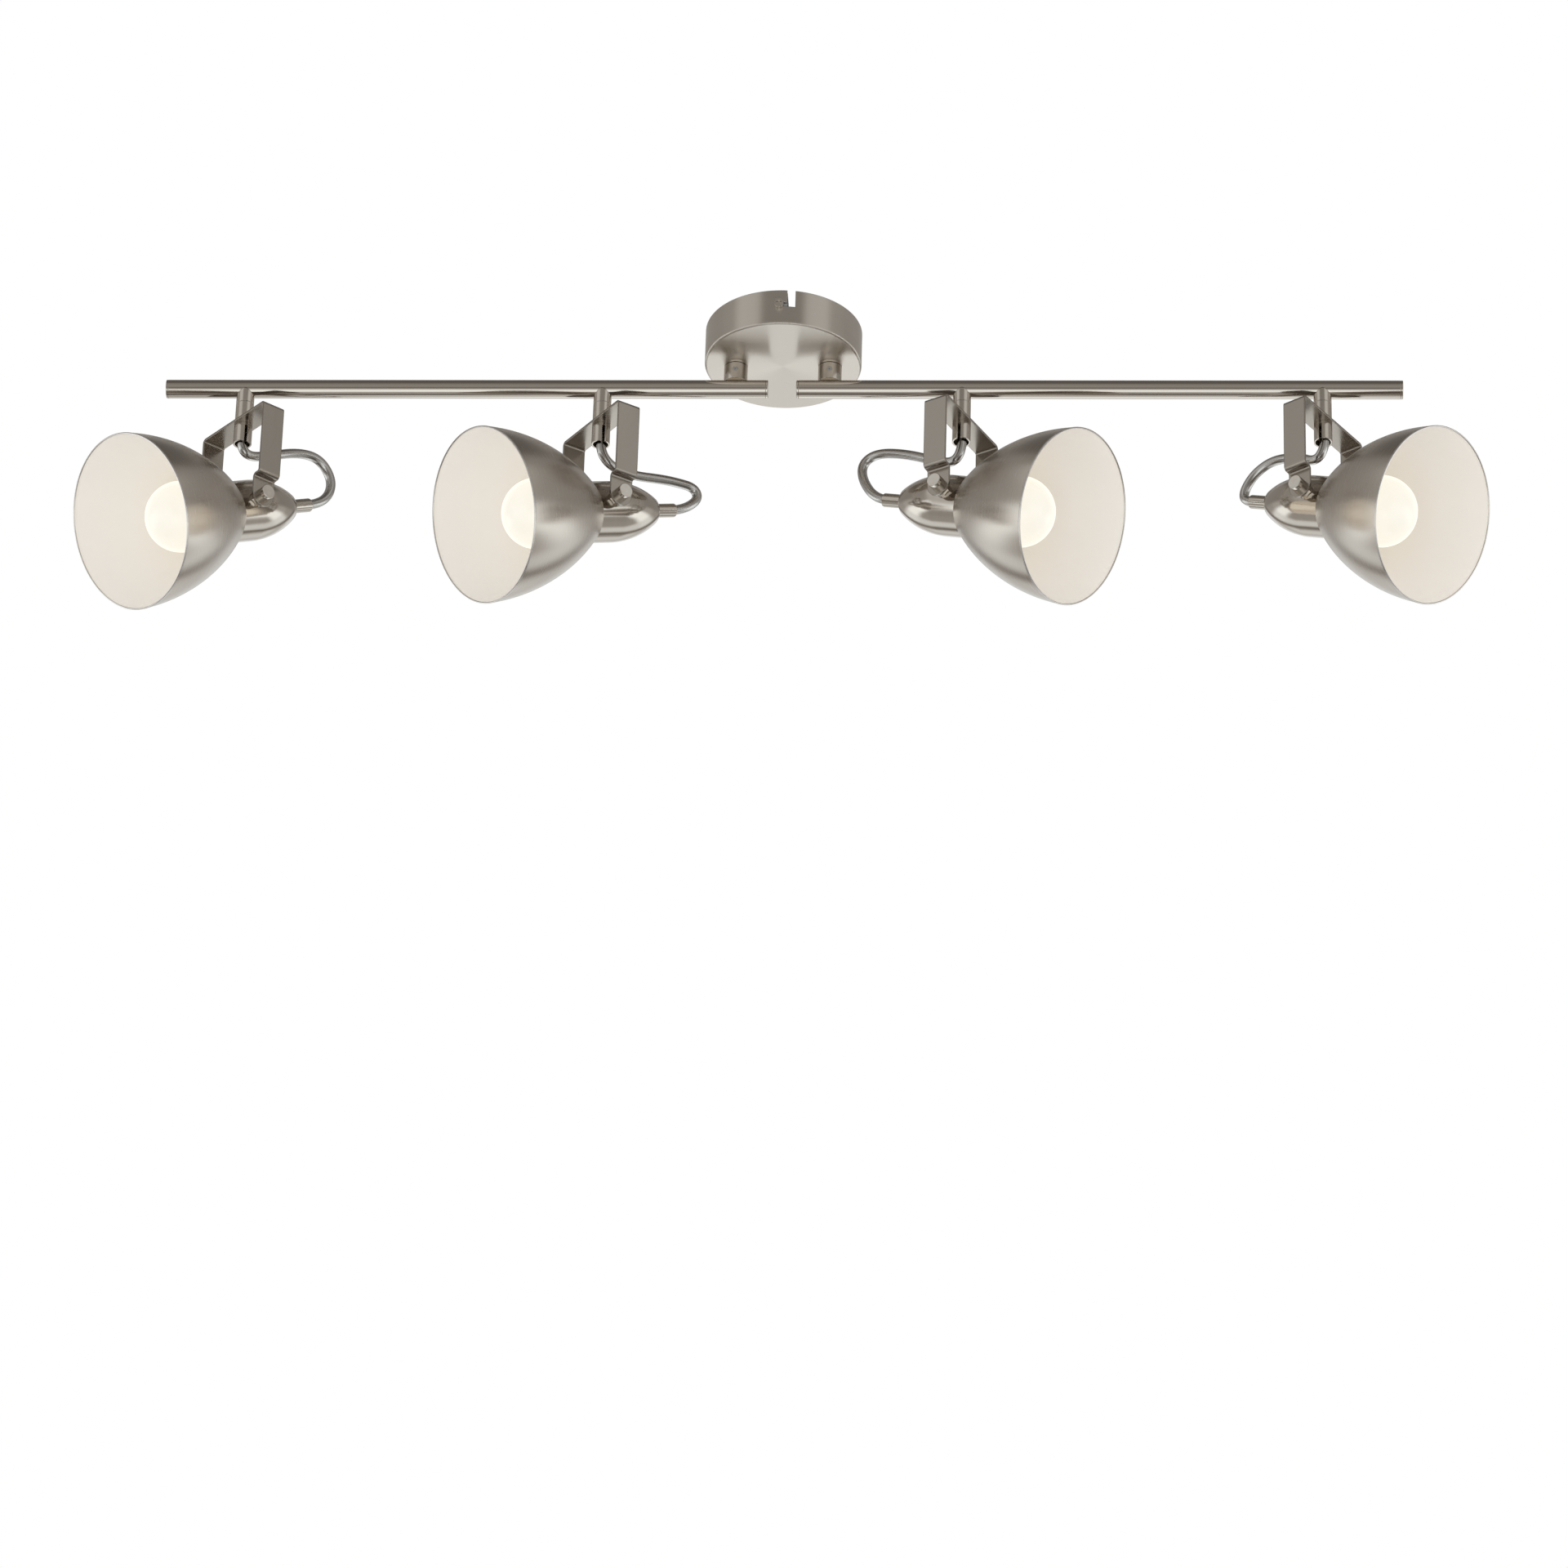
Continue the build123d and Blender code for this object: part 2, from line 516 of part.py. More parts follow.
# The four heads
for head_name, bar_name, post_offset, heading, look_down in head_settings:
    side, roll = [(side, roll) for name, side, roll in bar_settings if name == bar_name][0]
    post_x = side * (stem_spacing / 2 + post_offset)
    bar_frame = Location((0, 0, bar_z)) * Location((0, 0, 0), (roll, 0, 0))
    post_frame = bar_frame * Location((post_x, 0, 0), (0, 0, heading))
    tilt_frame = post_frame * Location((0, 0, -tilt_axis_drop))
    head_frame = tilt_frame * Location((0, 0, 0), (0, look_down, 0))
    head_axis = forward_axis(head_frame)
    near = -side  # the side of the head that faces the front of the lamp

    # Swivel barrel between the stub and the bracket
    with BuildPart() as swivel_barrel:
        with BuildSketch(level_plane(post_frame, -web_drop)):
            Circle(post_diameter / 2)
            Circle(nipple_diameter / 2 + seat_gap, mode=Mode.SUBTRACT)
        extrude(amount=web_drop - stub_drop - face_gap)
    save(swivel_barrel, f"swivel_barrel_{head_name}")

    # Bracket bent from one strip: web, two arms and two rounded ears set in at the foot
    arm_line = arm_face - strip_thickness / 2
    ear_line = ear_face - strip_thickness / 2
    web_line = -web_drop - strip_thickness / 2
    foot_line = -web_drop - arm_drop + strip_thickness / 2
    ear_foot = -tilt_axis_drop - strip_width
    with BuildPart() as u_bracket:
        with BuildSketch(front_plane(post_frame)):
            with BuildLine():
                FilletPolyline(
                    (-ear_line, ear_foot),
                    (-ear_line, foot_line),
                    (-arm_line, foot_line),
                    (-arm_line, web_line),
                    (arm_line, web_line),
                    (arm_line, foot_line),
                    (ear_line, foot_line),
                    (ear_line, ear_foot),
                    radius=strip_bend,
                )
            trace(line_width=strip_thickness)
        extrude(amount=strip_width / 2, both=True)
        with BuildSketch(side_plane(tilt_frame)):
            Rectangle(strip_width, pivot_drop, align=(Align.CENTER, Align.MIN))
            Circle(strip_width / 2)
            Circle(pivot_screw_diameter / 2 + running_gap, mode=Mode.SUBTRACT)
        extrude(amount=bracket_span, both=True, mode=Mode.INTERSECT)
        with BuildSketch(level_plane(post_frame, -web_drop)):
            Circle(nipple_diameter / 2 + seat_gap)
        extrude(amount=strip_thickness, both=True, mode=Mode.SUBTRACT)
    save(u_bracket, f"u_bracket_{head_name}")

    # Slit cable clamp under the web, with the hollow nipple that carries the head, the nut on the
    # nipple inside the tube and the small screw that grips the cable
    clamp_top = -web_drop - strip_thickness
    slit_frame = post_frame * Location((0, 0, clamp_top), (0, 0, near * (90 - clamp_slit_turn)))
    grip_frame = post_frame * Location(
        (0, 0, clamp_top - clamp_length / 2), (0, 0, near * (90 + clamp_screw_turn))
    )
    grip_reach = cable_diameter / 2 + cable_fit + face_gap
    with BuildPart() as cable_clamp:
        with BuildSketch(level_plane(post_frame, clamp_top)):
            Circle(clamp_diameter / 2)
        extrude(amount=-clamp_length)
        with BuildSketch(level_plane(post_frame, clamp_top)):
            Circle(nipple_diameter / 2)
        extrude(amount=nipple_nut_height - nipple_nut_drop - clamp_top)
        with BuildSketch(level_plane(post_frame, clamp_top - clamp_roof)):
            Circle(clamp_bore / 2)
        extrude(amount=clamp_roof - clamp_length, mode=Mode.SUBTRACT)
        with BuildSketch(level_plane(post_frame, clamp_top - clamp_roof)):
            Circle(nipple_bore / 2)
        extrude(amount=web_drop + clamp_length, mode=Mode.SUBTRACT)
        with BuildSketch(level_plane(slit_frame, -clamp_roof)):
            Rectangle(clamp_diameter, clamp_slit, align=(Align.MIN, Align.CENTER))
        extrude(amount=clamp_roof - clamp_length, mode=Mode.SUBTRACT)
        with BuildSketch(front_plane(grip_frame)):
            Circle(clamp_screw_diameter / 2 + seat_gap)
        extrude(amount=clamp_diameter, mode=Mode.SUBTRACT)
        with BuildSketch(front_plane(grip_frame).offset(grip_reach)):
            Circle(clamp_screw_diameter / 2)
        extrude(amount=clamp_diameter / 2 - set_screw_recess - grip_reach)
        with BuildSketch(level_plane(post_frame, -nipple_nut_drop)):
            Circle(nipple_nut_diameter / 2)
            Circle(nipple_diameter / 2 + running_gap, mode=Mode.SUBTRACT)
        extrude(amount=nipple_nut_height)
    save(cable_clamp, f"cable_clamp_{head_name}")

    # Disc-headed pivot screws through the ears, and the long hex nuts between ears and housing
    across = side_plane(head_frame)
    tilt_axis = Axis(head_frame.position, across.z_dir)
    nut_seat = housing_diameter / 2 - pivot_nut_seat
    with BuildPart() as head_screws:
        for facing in (1, -1):
            with BuildSketch(across.offset(facing * ear_face)):
                Circle(pivot_head_diameter / 2)
            extrude(amount=facing * pivot_head_height)
            with BuildSketch(across.offset(facing * (nut_seat - pivot_thread_reach))):
                Circle(pivot_screw_diameter / 2)
            extrude(amount=facing * (ear_face + pivot_thread_reach - nut_seat))
            with BuildSketch(across.offset(facing * nut_seat)):
                RegularPolygon(pivot_nut_flats / 2, 6, major_radius=False)
                Circle(pivot_screw_diameter / 2 + running_gap, mode=Mode.SUBTRACT)
            extrude(amount=facing * (ear_back - face_gap - nut_seat))
        disc_edges = head_screws.edges().filter_by(GeomType.CIRCLE).sort_by(tilt_axis)
        fillet([disc_edges[0], disc_edges[-1]], pivot_head_edge)
    save(head_screws, f"head_screws_{head_name}")

    # Bullet-shaped housing with a flat and a hole on each side for the pivot
    with BuildPart() as housing:
        with BuildSketch(across):
            with BuildLine():
                nose_start = (housing_front - housing_straight, housing_diameter / 2)
                nose_end = (housing_rear, housing_rear_diameter / 2)
                Polyline((housing_front, 0), (housing_front, housing_diameter / 2), nose_start)
                TangentArc(nose_start, nose_end, tangent=(-1, 0))
                Polyline(nose_end, (housing_rear, 0), (housing_front, 0))
            make_face()
        revolve(axis=head_axis)
        fillet(housing.edges().filter_by(GeomType.CIRCLE).sort_by(head_axis)[0], housing_rear_edge)
        for facing in (1, -1):
            with BuildSketch(across.offset(facing * nut_seat)):
                Circle(pivot_seat_diameter / 2)
            extrude(amount=facing * housing_diameter, mode=Mode.SUBTRACT)
        with BuildSketch(across):
            with BuildLine():
                bore_radius = housing_diameter / 2 - housing_wall
                bore_start = (housing_front - housing_straight, bore_radius)
                bore_end = (housing_rear + housing_wall, housing_rear_diameter / 2 - housing_wall / 2)
                Polyline((housing_front, 0), (housing_front, bore_radius), bore_start)
                TangentArc(bore_start, bore_end, tangent=(-1, 0))
                Polyline(bore_end, (housing_rear + housing_wall, 0), (housing_front, 0))
            make_face()
        revolve(axis=head_axis, mode=Mode.SUBTRACT)
        with BuildSketch(front_plane(head_frame).offset(housing_rear)):
            Circle(gland_spigot_diameter / 2 + seat_gap)
        extrude(amount=housing_wall, both=True, mode=Mode.SUBTRACT)
        with BuildSketch(across):
            Circle(pivot_screw_diameter / 2 + running_gap)
        extrude(amount=ear_face, both=True, mode=Mode.SUBTRACT)
    save(housing, f"housing_{head_name}")

    # Bell shade, spun from sheet: a flat seat round the neck and one arc out to the rim
    seat_radius = holder_diameter / 2 + seat_gap
    neck_radius = shade_neck_diameter / 2
    rim_point = (housing_front + shade_length, shade_diameter / 2)
    rim_tangent = (-cos(radians(shade_rim_angle)), -sin(radians(shade_rim_angle)))
    with BuildPart() as shade:
        with BuildSketch(across):
            with BuildLine():
                bell = TangentArc(rim_point, (housing_front, neck_radius), tangent=rim_tangent)
                offset(bell, amount=shade_sheet, side=Side.LEFT)
            make_face()
            with Locations((housing_front, seat_radius)):
                Rectangle(shade_sheet, neck_radius - seat_radius, align=(Align.MIN, Align.MIN))
        revolve(axis=head_axis)
    save(shade, f"shade_{head_name}")

    # Lampholder with its flange inside the housing, and the ring that clamps the shade on it
    cap_back = housing_front + bulb_reach - bulb_length
    cap_front = cap_back + bulb_cap_length
    holder_front = cap_front - holder_cap_gap
    with BuildPart() as lampholder:
        with BuildSketch(front_plane(head_frame).offset(holder_front)):
            Circle(holder_diameter / 2)
        extrude(amount=-holder_length)
        with BuildSketch(front_plane(head_frame).offset(housing_front)):
            Circle(housing_diameter / 2 - housing_wall - seat_gap)
        extrude(amount=-holder_flange)
        with BuildSketch(front_plane(head_frame).offset(holder_front)):
            Circle(bulb_cap_diameter / 2 + 2 * seat_gap)
        extrude(amount=cap_back - seat_gap - holder_front, mode=Mode.SUBTRACT)
        with BuildSketch(front_plane(head_frame).offset(housing_front + shade_sheet + seat_gap)):
            Circle(shade_ring_diameter / 2)
            Circle(holder_diameter / 2 + seat_gap, mode=Mode.SUBTRACT)
        extrude(amount=shade_ring_height)
    save(lampholder, f"lampholder_{head_name}")

    # Globe bulb: a hollow glass globe that necks down to a screw cap with a contact tip
    globe_radius = bulb_diameter / 2
    globe_middle = housing_front + bulb_reach - globe_radius
    neck_turn = radians(bulb_neck_angle)
    neck_point = (globe_middle + globe_radius * cos(neck_turn), globe_radius * sin(neck_turn))
    neck_slope = neck_turn - pi / 2
    hollow_radius = globe_radius - bulb_glass
    with BuildPart() as bulb:
        with BuildSketch(across):
            with BuildLine():
                neck_foot = (cap_front, bulb_neck_diameter / 2)
                Polyline((globe_middle + globe_radius, 0), (cap_front, 0), neck_foot)
                Spline(
                    neck_foot,
                    neck_point,
                    tangents=((1, 0), (cos(neck_slope), sin(neck_slope))),
                )
                CenterArc((globe_middle, 0), globe_radius, bulb_neck_angle, -bulb_neck_angle)
            make_face()
        revolve(axis=head_axis)
        with BuildSketch(across):
            with BuildLine():
                CenterArc((globe_middle, 0), hollow_radius, 0, 180)
                Line((globe_middle - hollow_radius, 0), (globe_middle + hollow_radius, 0))
            make_face()
        revolve(axis=head_axis, mode=Mode.SUBTRACT)
        with BuildSketch(front_plane(head_frame).offset(cap_front)):
            Circle(bulb_neck_bore / 2)
        extrude(amount=globe_middle - cap_front, mode=Mode.SUBTRACT)
        with BuildSketch(front_plane(head_frame).offset(cap_front - running_gap)):
            Circle(bulb_cap_diameter / 2)
        extrude(amount=bulb_tip_height + running_gap - bulb_cap_length)
        with BuildSketch(front_plane(head_frame).offset(cap_back)):
            Circle(bulb_tip_diameter / 2)
        extrude(amount=bulb_tip_height)
    save(bulb, f"bulb_{head_name}")

    # Gland at the rear of the housing
    with BuildPart() as cable_gland:
        with BuildSketch(front_plane(head_frame).offset(gland_end)):
            Circle(gland_diameter / 2)
        extrude(amount=gland_length)
        fillet(cable_gland.edges(), gland_edge)
        with BuildSketch(front_plane(head_frame).offset(housing_rear - 2 * gland_edge)):
            Circle(gland_spigot_diameter / 2)
        extrude(amount=gland_spigot + 2 * gland_edge)
        with BuildSketch(front_plane(head_frame).offset(gland_end)):
            Circle(cable_diameter / 2 + cable_fit)
        extrude(amount=gland_length + gland_spigot, mode=Mode.SUBTRACT)
    save(cable_gland, f"cable_gland_{head_name}")

    # Braided cable from the clamp round to the gland
    bend_out, last_run = cable_tails[head_name]
    back = radians(look_down)
    tail = [
        (reach * cos(back), -reach * sin(back))
        for reach in (gland_end - bend_out, gland_end - bend_out + last_run)
    ]
    route = list(cable_routes[head_name]) + tail
    radii = bend_radii(route)
    with BuildPart() as cable:
        with BuildLine(side_plane(tilt_frame)) as cable_path:
            FilletPolyline(*route, radius=radii)
        with BuildSketch(Plane(cable_path.line @ 0, z_dir=cable_path.line % 0)):
            Circle(cable_diameter / 2)
        sweep(path=cable_path.line)
    save(cable, f"cable_{head_name}")
    length = cable_path.wires()[0].length
    section = pi * cable_diameter**2 / 4
    print(f"cable_{head_name}: length {length:.1f}, radii", [round(radius, 1) for radius in radii])
    print(f"  volume {cable.part.volume:.0f} against section times length {section * length:.0f}")
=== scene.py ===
# %% [markdown]
# # A ceiling spot bar in satin nickel
# This lesson dresses a finished CAD model of a ceiling lamp: a round canopy, two tubes that swivel on
# stems, and four spot heads that pan and tilt. The solids come in as a fixed frame in metres, with the
# centre of the ceiling plane as the origin, +Z up and +X along the tubes. We never move them: we give
# them finishes, and we replace only what looks better as a mesh of our own.

# %% Load the frame
import json
from math import atan2, cos, degrees, hypot, pi, radians, sin

import bpy
from mathutils import Matrix, Vector


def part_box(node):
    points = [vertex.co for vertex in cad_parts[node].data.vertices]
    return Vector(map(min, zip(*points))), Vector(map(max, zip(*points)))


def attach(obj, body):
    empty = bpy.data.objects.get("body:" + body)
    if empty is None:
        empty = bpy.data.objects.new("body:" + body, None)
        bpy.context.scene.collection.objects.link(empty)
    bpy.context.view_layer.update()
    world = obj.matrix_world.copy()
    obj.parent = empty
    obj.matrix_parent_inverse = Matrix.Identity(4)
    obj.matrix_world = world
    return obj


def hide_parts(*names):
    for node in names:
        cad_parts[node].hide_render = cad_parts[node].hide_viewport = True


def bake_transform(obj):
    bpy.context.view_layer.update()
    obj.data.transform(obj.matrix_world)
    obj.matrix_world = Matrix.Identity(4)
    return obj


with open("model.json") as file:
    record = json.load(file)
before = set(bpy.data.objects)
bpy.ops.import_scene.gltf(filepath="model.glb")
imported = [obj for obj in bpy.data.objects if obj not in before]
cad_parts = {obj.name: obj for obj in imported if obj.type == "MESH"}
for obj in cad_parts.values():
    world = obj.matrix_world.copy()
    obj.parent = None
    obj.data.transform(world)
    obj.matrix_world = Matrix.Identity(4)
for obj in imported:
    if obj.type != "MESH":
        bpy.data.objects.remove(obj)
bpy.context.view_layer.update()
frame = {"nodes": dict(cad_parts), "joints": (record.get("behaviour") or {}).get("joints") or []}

nodes = frame["nodes"]
joints = {joint["name"]: joint for joint in frame["joints"]}
head_names = ("outer_left", "inner_left", "inner_right", "outer_right")

# %% [markdown]
# ## The camera
# The lamp hangs and the camera looks up at it from the front through a long lens, so the tubes stay
# almost straight. A camera could be aimed with a constraint, but a fitted view is exact when its three
# axes are written out: we turn a yaw, a pitch and a roll into a right, an up and a look direction.

# %% Camera
camera_place = Vector((0.21998, -3.84759, -2.52365))
camera_yaw = radians(3.143)
camera_pitch = radians(29.635)
camera_roll = radians(1.744)
camera_lens = 165.04

level_ahead = Vector((-sin(camera_yaw), cos(camera_yaw), 0.0))
level_right = Vector((cos(camera_yaw), sin(camera_yaw), 0.0))
look = level_ahead * cos(camera_pitch) + Vector((0.0, 0.0, sin(camera_pitch)))
level_up = level_right.cross(look)
right = level_right * cos(camera_roll) + level_up * sin(camera_roll)
up = level_up * cos(camera_roll) - level_right * sin(camera_roll)

camera = bpy.data.objects.new("camera", bpy.data.cameras.new("camera"))
bpy.context.scene.collection.objects.link(camera)
camera.data.lens = camera_lens
camera.data.sensor_width = 36.0
camera.data.clip_end = 50.0
camera.matrix_world = Matrix.Translation(camera_place) @ Matrix((right, up, -look)).transposed().to_4x4()
bpy.context.scene.camera = camera
bpy.context.scene.view_settings.view_transform = "Standard"
print(f"camera {camera_place.length:.2f} m from the ceiling point")

# %% [markdown]
# ## Where each head sits
# Every head has its own frame: forwards along its bracket, sideways along its tilt axis and upwards
# along its post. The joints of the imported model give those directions. The shade's rim gives the
# direction in which the lamp itself looks: the middle of that circle lies on the lamp's axis.

# %% Head frames
rim_band = 0.0002


def corners(points):
    """Lowest and highest corner of a set of points."""
    low = Vector(min(point[axis] for point in points) for axis in range(3))
    high = Vector(max(point[axis] for point in points) for axis in range(3))
    return low, high


def rim_middle(name, pivot):
    """Middle of the shade's rim, the circle of points that lies farthest from the tilt axis."""
    points = [vertex.co for vertex in nodes[f"shade_{name}"].data.vertices]
    reach = max((point - pivot).length for point in points)
    low, high = corners([point for point in points if (point - pivot).length > reach - rim_band])
    return (low + high) / 2


heads = {}
for name in head_names:
    tilt = joints[f"head_{name}_tilt"]
    pivot = Vector(tilt["pos_m"])
    sideways = Vector(tilt["axis"]).normalized()
    upwards = Vector(joints[f"bracket_{name}_pan"]["axis"]).normalized()
    forwards = sideways.cross(upwards)
    axis = (rim_middle(name, pivot) - pivot).normalized()
    crown = axis.cross(sideways)
    heads[name] = {
        "pivot": pivot,
        "sideways": sideways,
        "upwards": upwards,
        "forwards": forwards,
        "axis": axis,
        "place": Matrix.Translation(pivot) @ Matrix((crown, sideways, axis)).transposed().to_4x4(),
    }
    dip = degrees(atan2(-axis.dot(upwards), axis.dot(forwards)))
    print(f"{name}: looks {dip:.1f} degrees down")

# %% [markdown]
# ## Shader sums as Python
# A brushed finish is a short sum: distance across the grooves, divided by their width, fed to a noise.
# Nodes could be added one by one, but a sum is easier to read. This small class wraps one output of a
# node and turns + - * and / into Math nodes, also where a plain number stands on the left. Every other
# node is made by its one method, `node`, and a few short methods name the nodes that come back often.

# %% A socket that can be used in sums
class Wire:
    """One output of a shader node."""

    def __init__(self, tree, socket=None):
        self.tree = tree
        self.socket = socket

    def node(self, kind, settings=None, sockets=None, output=0):
        """Add a node: its settings first, then the values or links of its sockets."""
        made = self.tree.nodes.new(kind)
        for setting, value in (settings or {}).items():
            setattr(made, setting, value)
        for name, value in (sockets or {}).items():
            self.feed(made.inputs[name], value)
        return Wire(self.tree, made.outputs[output] if made.outputs else None)

    def feed(self, socket, value):
        """Link a wire to a socket, or set the socket to a plain value."""
        if isinstance(value, Wire):
            self.tree.links.new(value.socket, socket)
        else:
            socket.default_value = value

    def math(self, operation, *values):
        """A Math node on wires and numbers."""
        return self.node("ShaderNodeMath", {"operation": operation}, dict(enumerate(values)))

    def vector(self, operation, *values, output=0):
        """A Vector Math node on wires and vectors."""
        return self.node("ShaderNodeVectorMath", {"operation": operation}, dict(enumerate(values)), output)

    def __add__(self, other):
        return self.math("ADD", self, other)

    def __sub__(self, other):
        return self.math("SUBTRACT", self, other)

    def __rsub__(self, other):
        return self.math("SUBTRACT", other, self)

    def __mul__(self, other):
        return self.math("MULTIPLY", self, other)

    def __truediv__(self, other):
        return self.math("DIVIDE", self, other)

    def __rtruediv__(self, other):
        return self.math("DIVIDE", other, self)

    __radd__ = __add__
    __rmul__ = __mul__

    def axes(self):
        """The X, Y and Z of a point, each as a wire of its own."""
        split = self.node("ShaderNodeSeparateXYZ", {}, {0: self})
        return [Wire(self.tree, socket) for socket in split.socket.node.outputs]

    def dot(self, direction):
        """Distance of a point along a direction."""
        return self.vector("DOT_PRODUCT", self, direction, output="Value")

    def from_axis(self, direction):
        """Distance of a point from an axis through the origin of its coordinates."""
        away = self.vector("CROSS_PRODUCT", self, direction)
        return away.vector("LENGTH", away, output="Value")

    def noise(self, scale, detail, **sockets):
        """Soft noise at a point."""
        names = {"Vector": self, "Scale": scale, "Detail": detail, **sockets}
        return self.node("ShaderNodeTexNoise", {}, names)

    def mix(self, first, second):
        """A colour that goes from the first to the second as this value goes from 0 to 1."""
        names = {"Factor": self, 6: first, 7: second}
        return self.node("ShaderNodeMix", {"data_type": "RGBA"}, names, output=2)


print("shader sums work with + - * /")

# %% [markdown]
# ## Starting a finish
# Every finish here is one Principled shader. What is even all over a surface is set on the shader's own
# sockets. What varies is a wire, and it feeds only the colour, the roughness, the glow or the bump.

# %% Finish helpers
def new_finish(name, **constants):
    """A material with one Principled shader, whose even values are set on its own sockets."""
    material = bpy.data.materials.new(name)
    material.use_nodes = True
    shader = material.node_tree.nodes["Principled BSDF"]
    for socket, value in constants.items():
        shader.inputs[socket.replace("_", " ")].default_value = value
    return material, Wire(material.node_tree), shader


def emboss(wire, shader, height, strength, depth, **others):
    """Raise the surface a little where the height is large."""
    sockets = {"Strength": strength, "Distance": depth, "Height": height, **others}
    wire.feed(shader.inputs["Normal"], wire.node("ShaderNodeBump", {}, sockets))


def grey(level, warmth=0.0):
    """A grey as red, green, blue and alpha, a little warmer or cooler."""
    return (level * (1 + warmth), level, level * (1 - warmth), 1.0)


print("a mid grey is", grey(0.5))

# %% [markdown]
# ## Brushed nickel
# All the bright metal is nickel plate, rubbed so that fine grooves run one way: along the tubes and the
# bent strips, and round and round on what was spun or turned. An image could carry the grooves, but a
# noise drawn out along one direction has no seams and no pixels. It stirs the roughness, the tint and
# a very shallow bump. Sharp edges catch light on real metal, so a Bevel node rounds them in the shading
# and leaves the solids as they are.

# %% Brushed finish
nickel_dark = (0.55, 0.50, 0.44, 1.0)
nickel_light = (0.62, 0.57, 0.51, 1.0)
nickel_tones = (nickel_dark, nickel_light)
groove_width = 0.00016
groove_length = 0.014
groove_depth = 0.000002
groove_stir = 0.06
groove_share = 0.6
cloud_width = groove_width * 14
cloud_length = groove_length * 4
cloud_stir = 0.04
edge_round = 0.0004


def brush(material, wire, shader, across, along, roughness, second=0.0, edge=edge_round, tones=nickel_tones):
    """Rub grooves into a metal: fine in one or two directions across, slow along."""
    fine_place = {"X": across / groove_width, "Y": along / groove_length, "Z": second}
    wide_place = {"X": across / cloud_width, "Y": along / cloud_length, "Z": second}
    grooves = wire.node("ShaderNodeCombineXYZ", {}, fine_place).noise(scale=1.0, detail=2.0, Roughness=0.6)
    clouds = wire.node("ShaderNodeCombineXYZ", {}, wide_place).noise(scale=1.0, detail=3.0)
    tone = grooves * groove_share + clouds * (1 - groove_share)
    wire.feed(shader.inputs["Base Color"], tone.mix(*tones))
    stirred = roughness + (grooves - 0.5) * groove_stir + (clouds - 0.5) * cloud_stir
    wire.feed(shader.inputs["Roughness"], stirred)
    rounded = wire.node("ShaderNodeBevel", {"samples": 6}, {"Radius": edge})
    emboss(wire, shader, grooves, strength=0.2, depth=groove_depth, Normal=rounded)
    return material


def nickel_along(name, across, along, roughness, **others):
    """Nickel with straight grooves: across and along are directions in the lamp's frame."""
    material, wire, shader = new_finish(name, Metallic=1.0)
    point = wire.node("ShaderNodeTexCoord", output="Object")
    return brush(material, wire, shader, point.dot(across), point.dot(along), roughness, **others)


def nickel_round(name, axis, middle, roughness, anisotropic=0.0, slow=None):
    """Nickel with grooves that run round an axis, and a slow drift along a direction square to it."""
    sheen = {"Anisotropic": anisotropic, "Anisotropic_Rotation": 0.25}
    material, wire, shader = new_finish(name, Metallic=1.0, **sheen)
    point = wire.node("ShaderNodeTexCoord", output="Object")
    local = point.vector("SUBTRACT", point, middle)
    drift = local.dot(slow or Vector(axis).orthogonal().normalized())
    rings = local.from_axis(axis) / groove_width
    return brush(material, wire, shader, local.dot(axis), drift, roughness, second=rings)


lengthwise = Vector((1.0, 0.0, 0.0))
steep = Vector((0.0, 0.6, 0.8))
plumb = Vector((0.0, 0.0, 1.0))
tube_nickel = nickel_along("tube_nickel", steep, lengthwise, roughness=0.13)
canopy_nickel = nickel_round("canopy_nickel", plumb, Vector(), roughness=0.30, anisotropic=0.85)
print("brushed finishes:", tube_nickel.name, canopy_nickel.name)

# %% [markdown]
# ## Polished nickel, zinc, plastics and lead covers
# The plugs, screws and studs are polished, and the fittings inside the canopy are zinc plated. Their
# detail is quieter: a cloudy roughness, faint specks and handling marks.

# %% Small finishes
speck_fineness = 9


def clouded(name, first, second, scale, roughness, spread, depth=0.0, **constants):
    """A finish whose colour and roughness drift in soft clouds."""
    material, wire, shader = new_finish(name, **constants)
    point = wire.node("ShaderNodeTexCoord", output="Object")
    clouds = point.noise(scale, detail=5.0)
    wire.feed(shader.inputs["Base Color"], clouds.mix(first, second))
    wire.feed(shader.inputs["Roughness"], roughness + (clouds - 0.5) * spread)
    if depth:
        specks = point.noise(scale * speck_fineness, detail=2.0)
        emboss(wire, shader, specks, strength=0.4, depth=depth)
    return material


polished = clouded(
    "polished_nickel",
    nickel_dark,
    (0.68, 0.64, 0.58, 1.0),
    scale=240.0,
    roughness=0.12,
    spread=0.10,
    Metallic=1.0,
)
zinc = clouded(
    "zinc_plate",
    grey(0.45),
    grey(0.66, -0.03),
    scale=160.0,
    roughness=0.34,
    spread=0.25,
    depth=0.00002,
    Metallic=1.0,
)
white_plastic = clouded(
    "white_plastic",
    grey(0.78, 0.03),
    grey(0.84, 0.03),
    scale=300.0,
    roughness=0.42,
    spread=0.12,
    depth=0.00003,
)
lead_cover = clouded(
    "lead_cover",
    grey(0.02),
    grey(0.05),
    scale=200.0,
    roughness=0.5,
    spread=0.2,
    depth=0.00002,
)
print("small finishes:", polished.name, zinc.name, white_plastic.name, lead_cover.name)

# %% [markdown]
# ## White lacquer and opal glass
# The shades are sprayed white inside and the globe is lit opal glass. Lacquer has a faint orange peel
# under a soft gloss. The glass could hold a lamp behind a scattering volume, but a gentle emission, a
# little deeper towards the neck, gives the same even glow without noise.

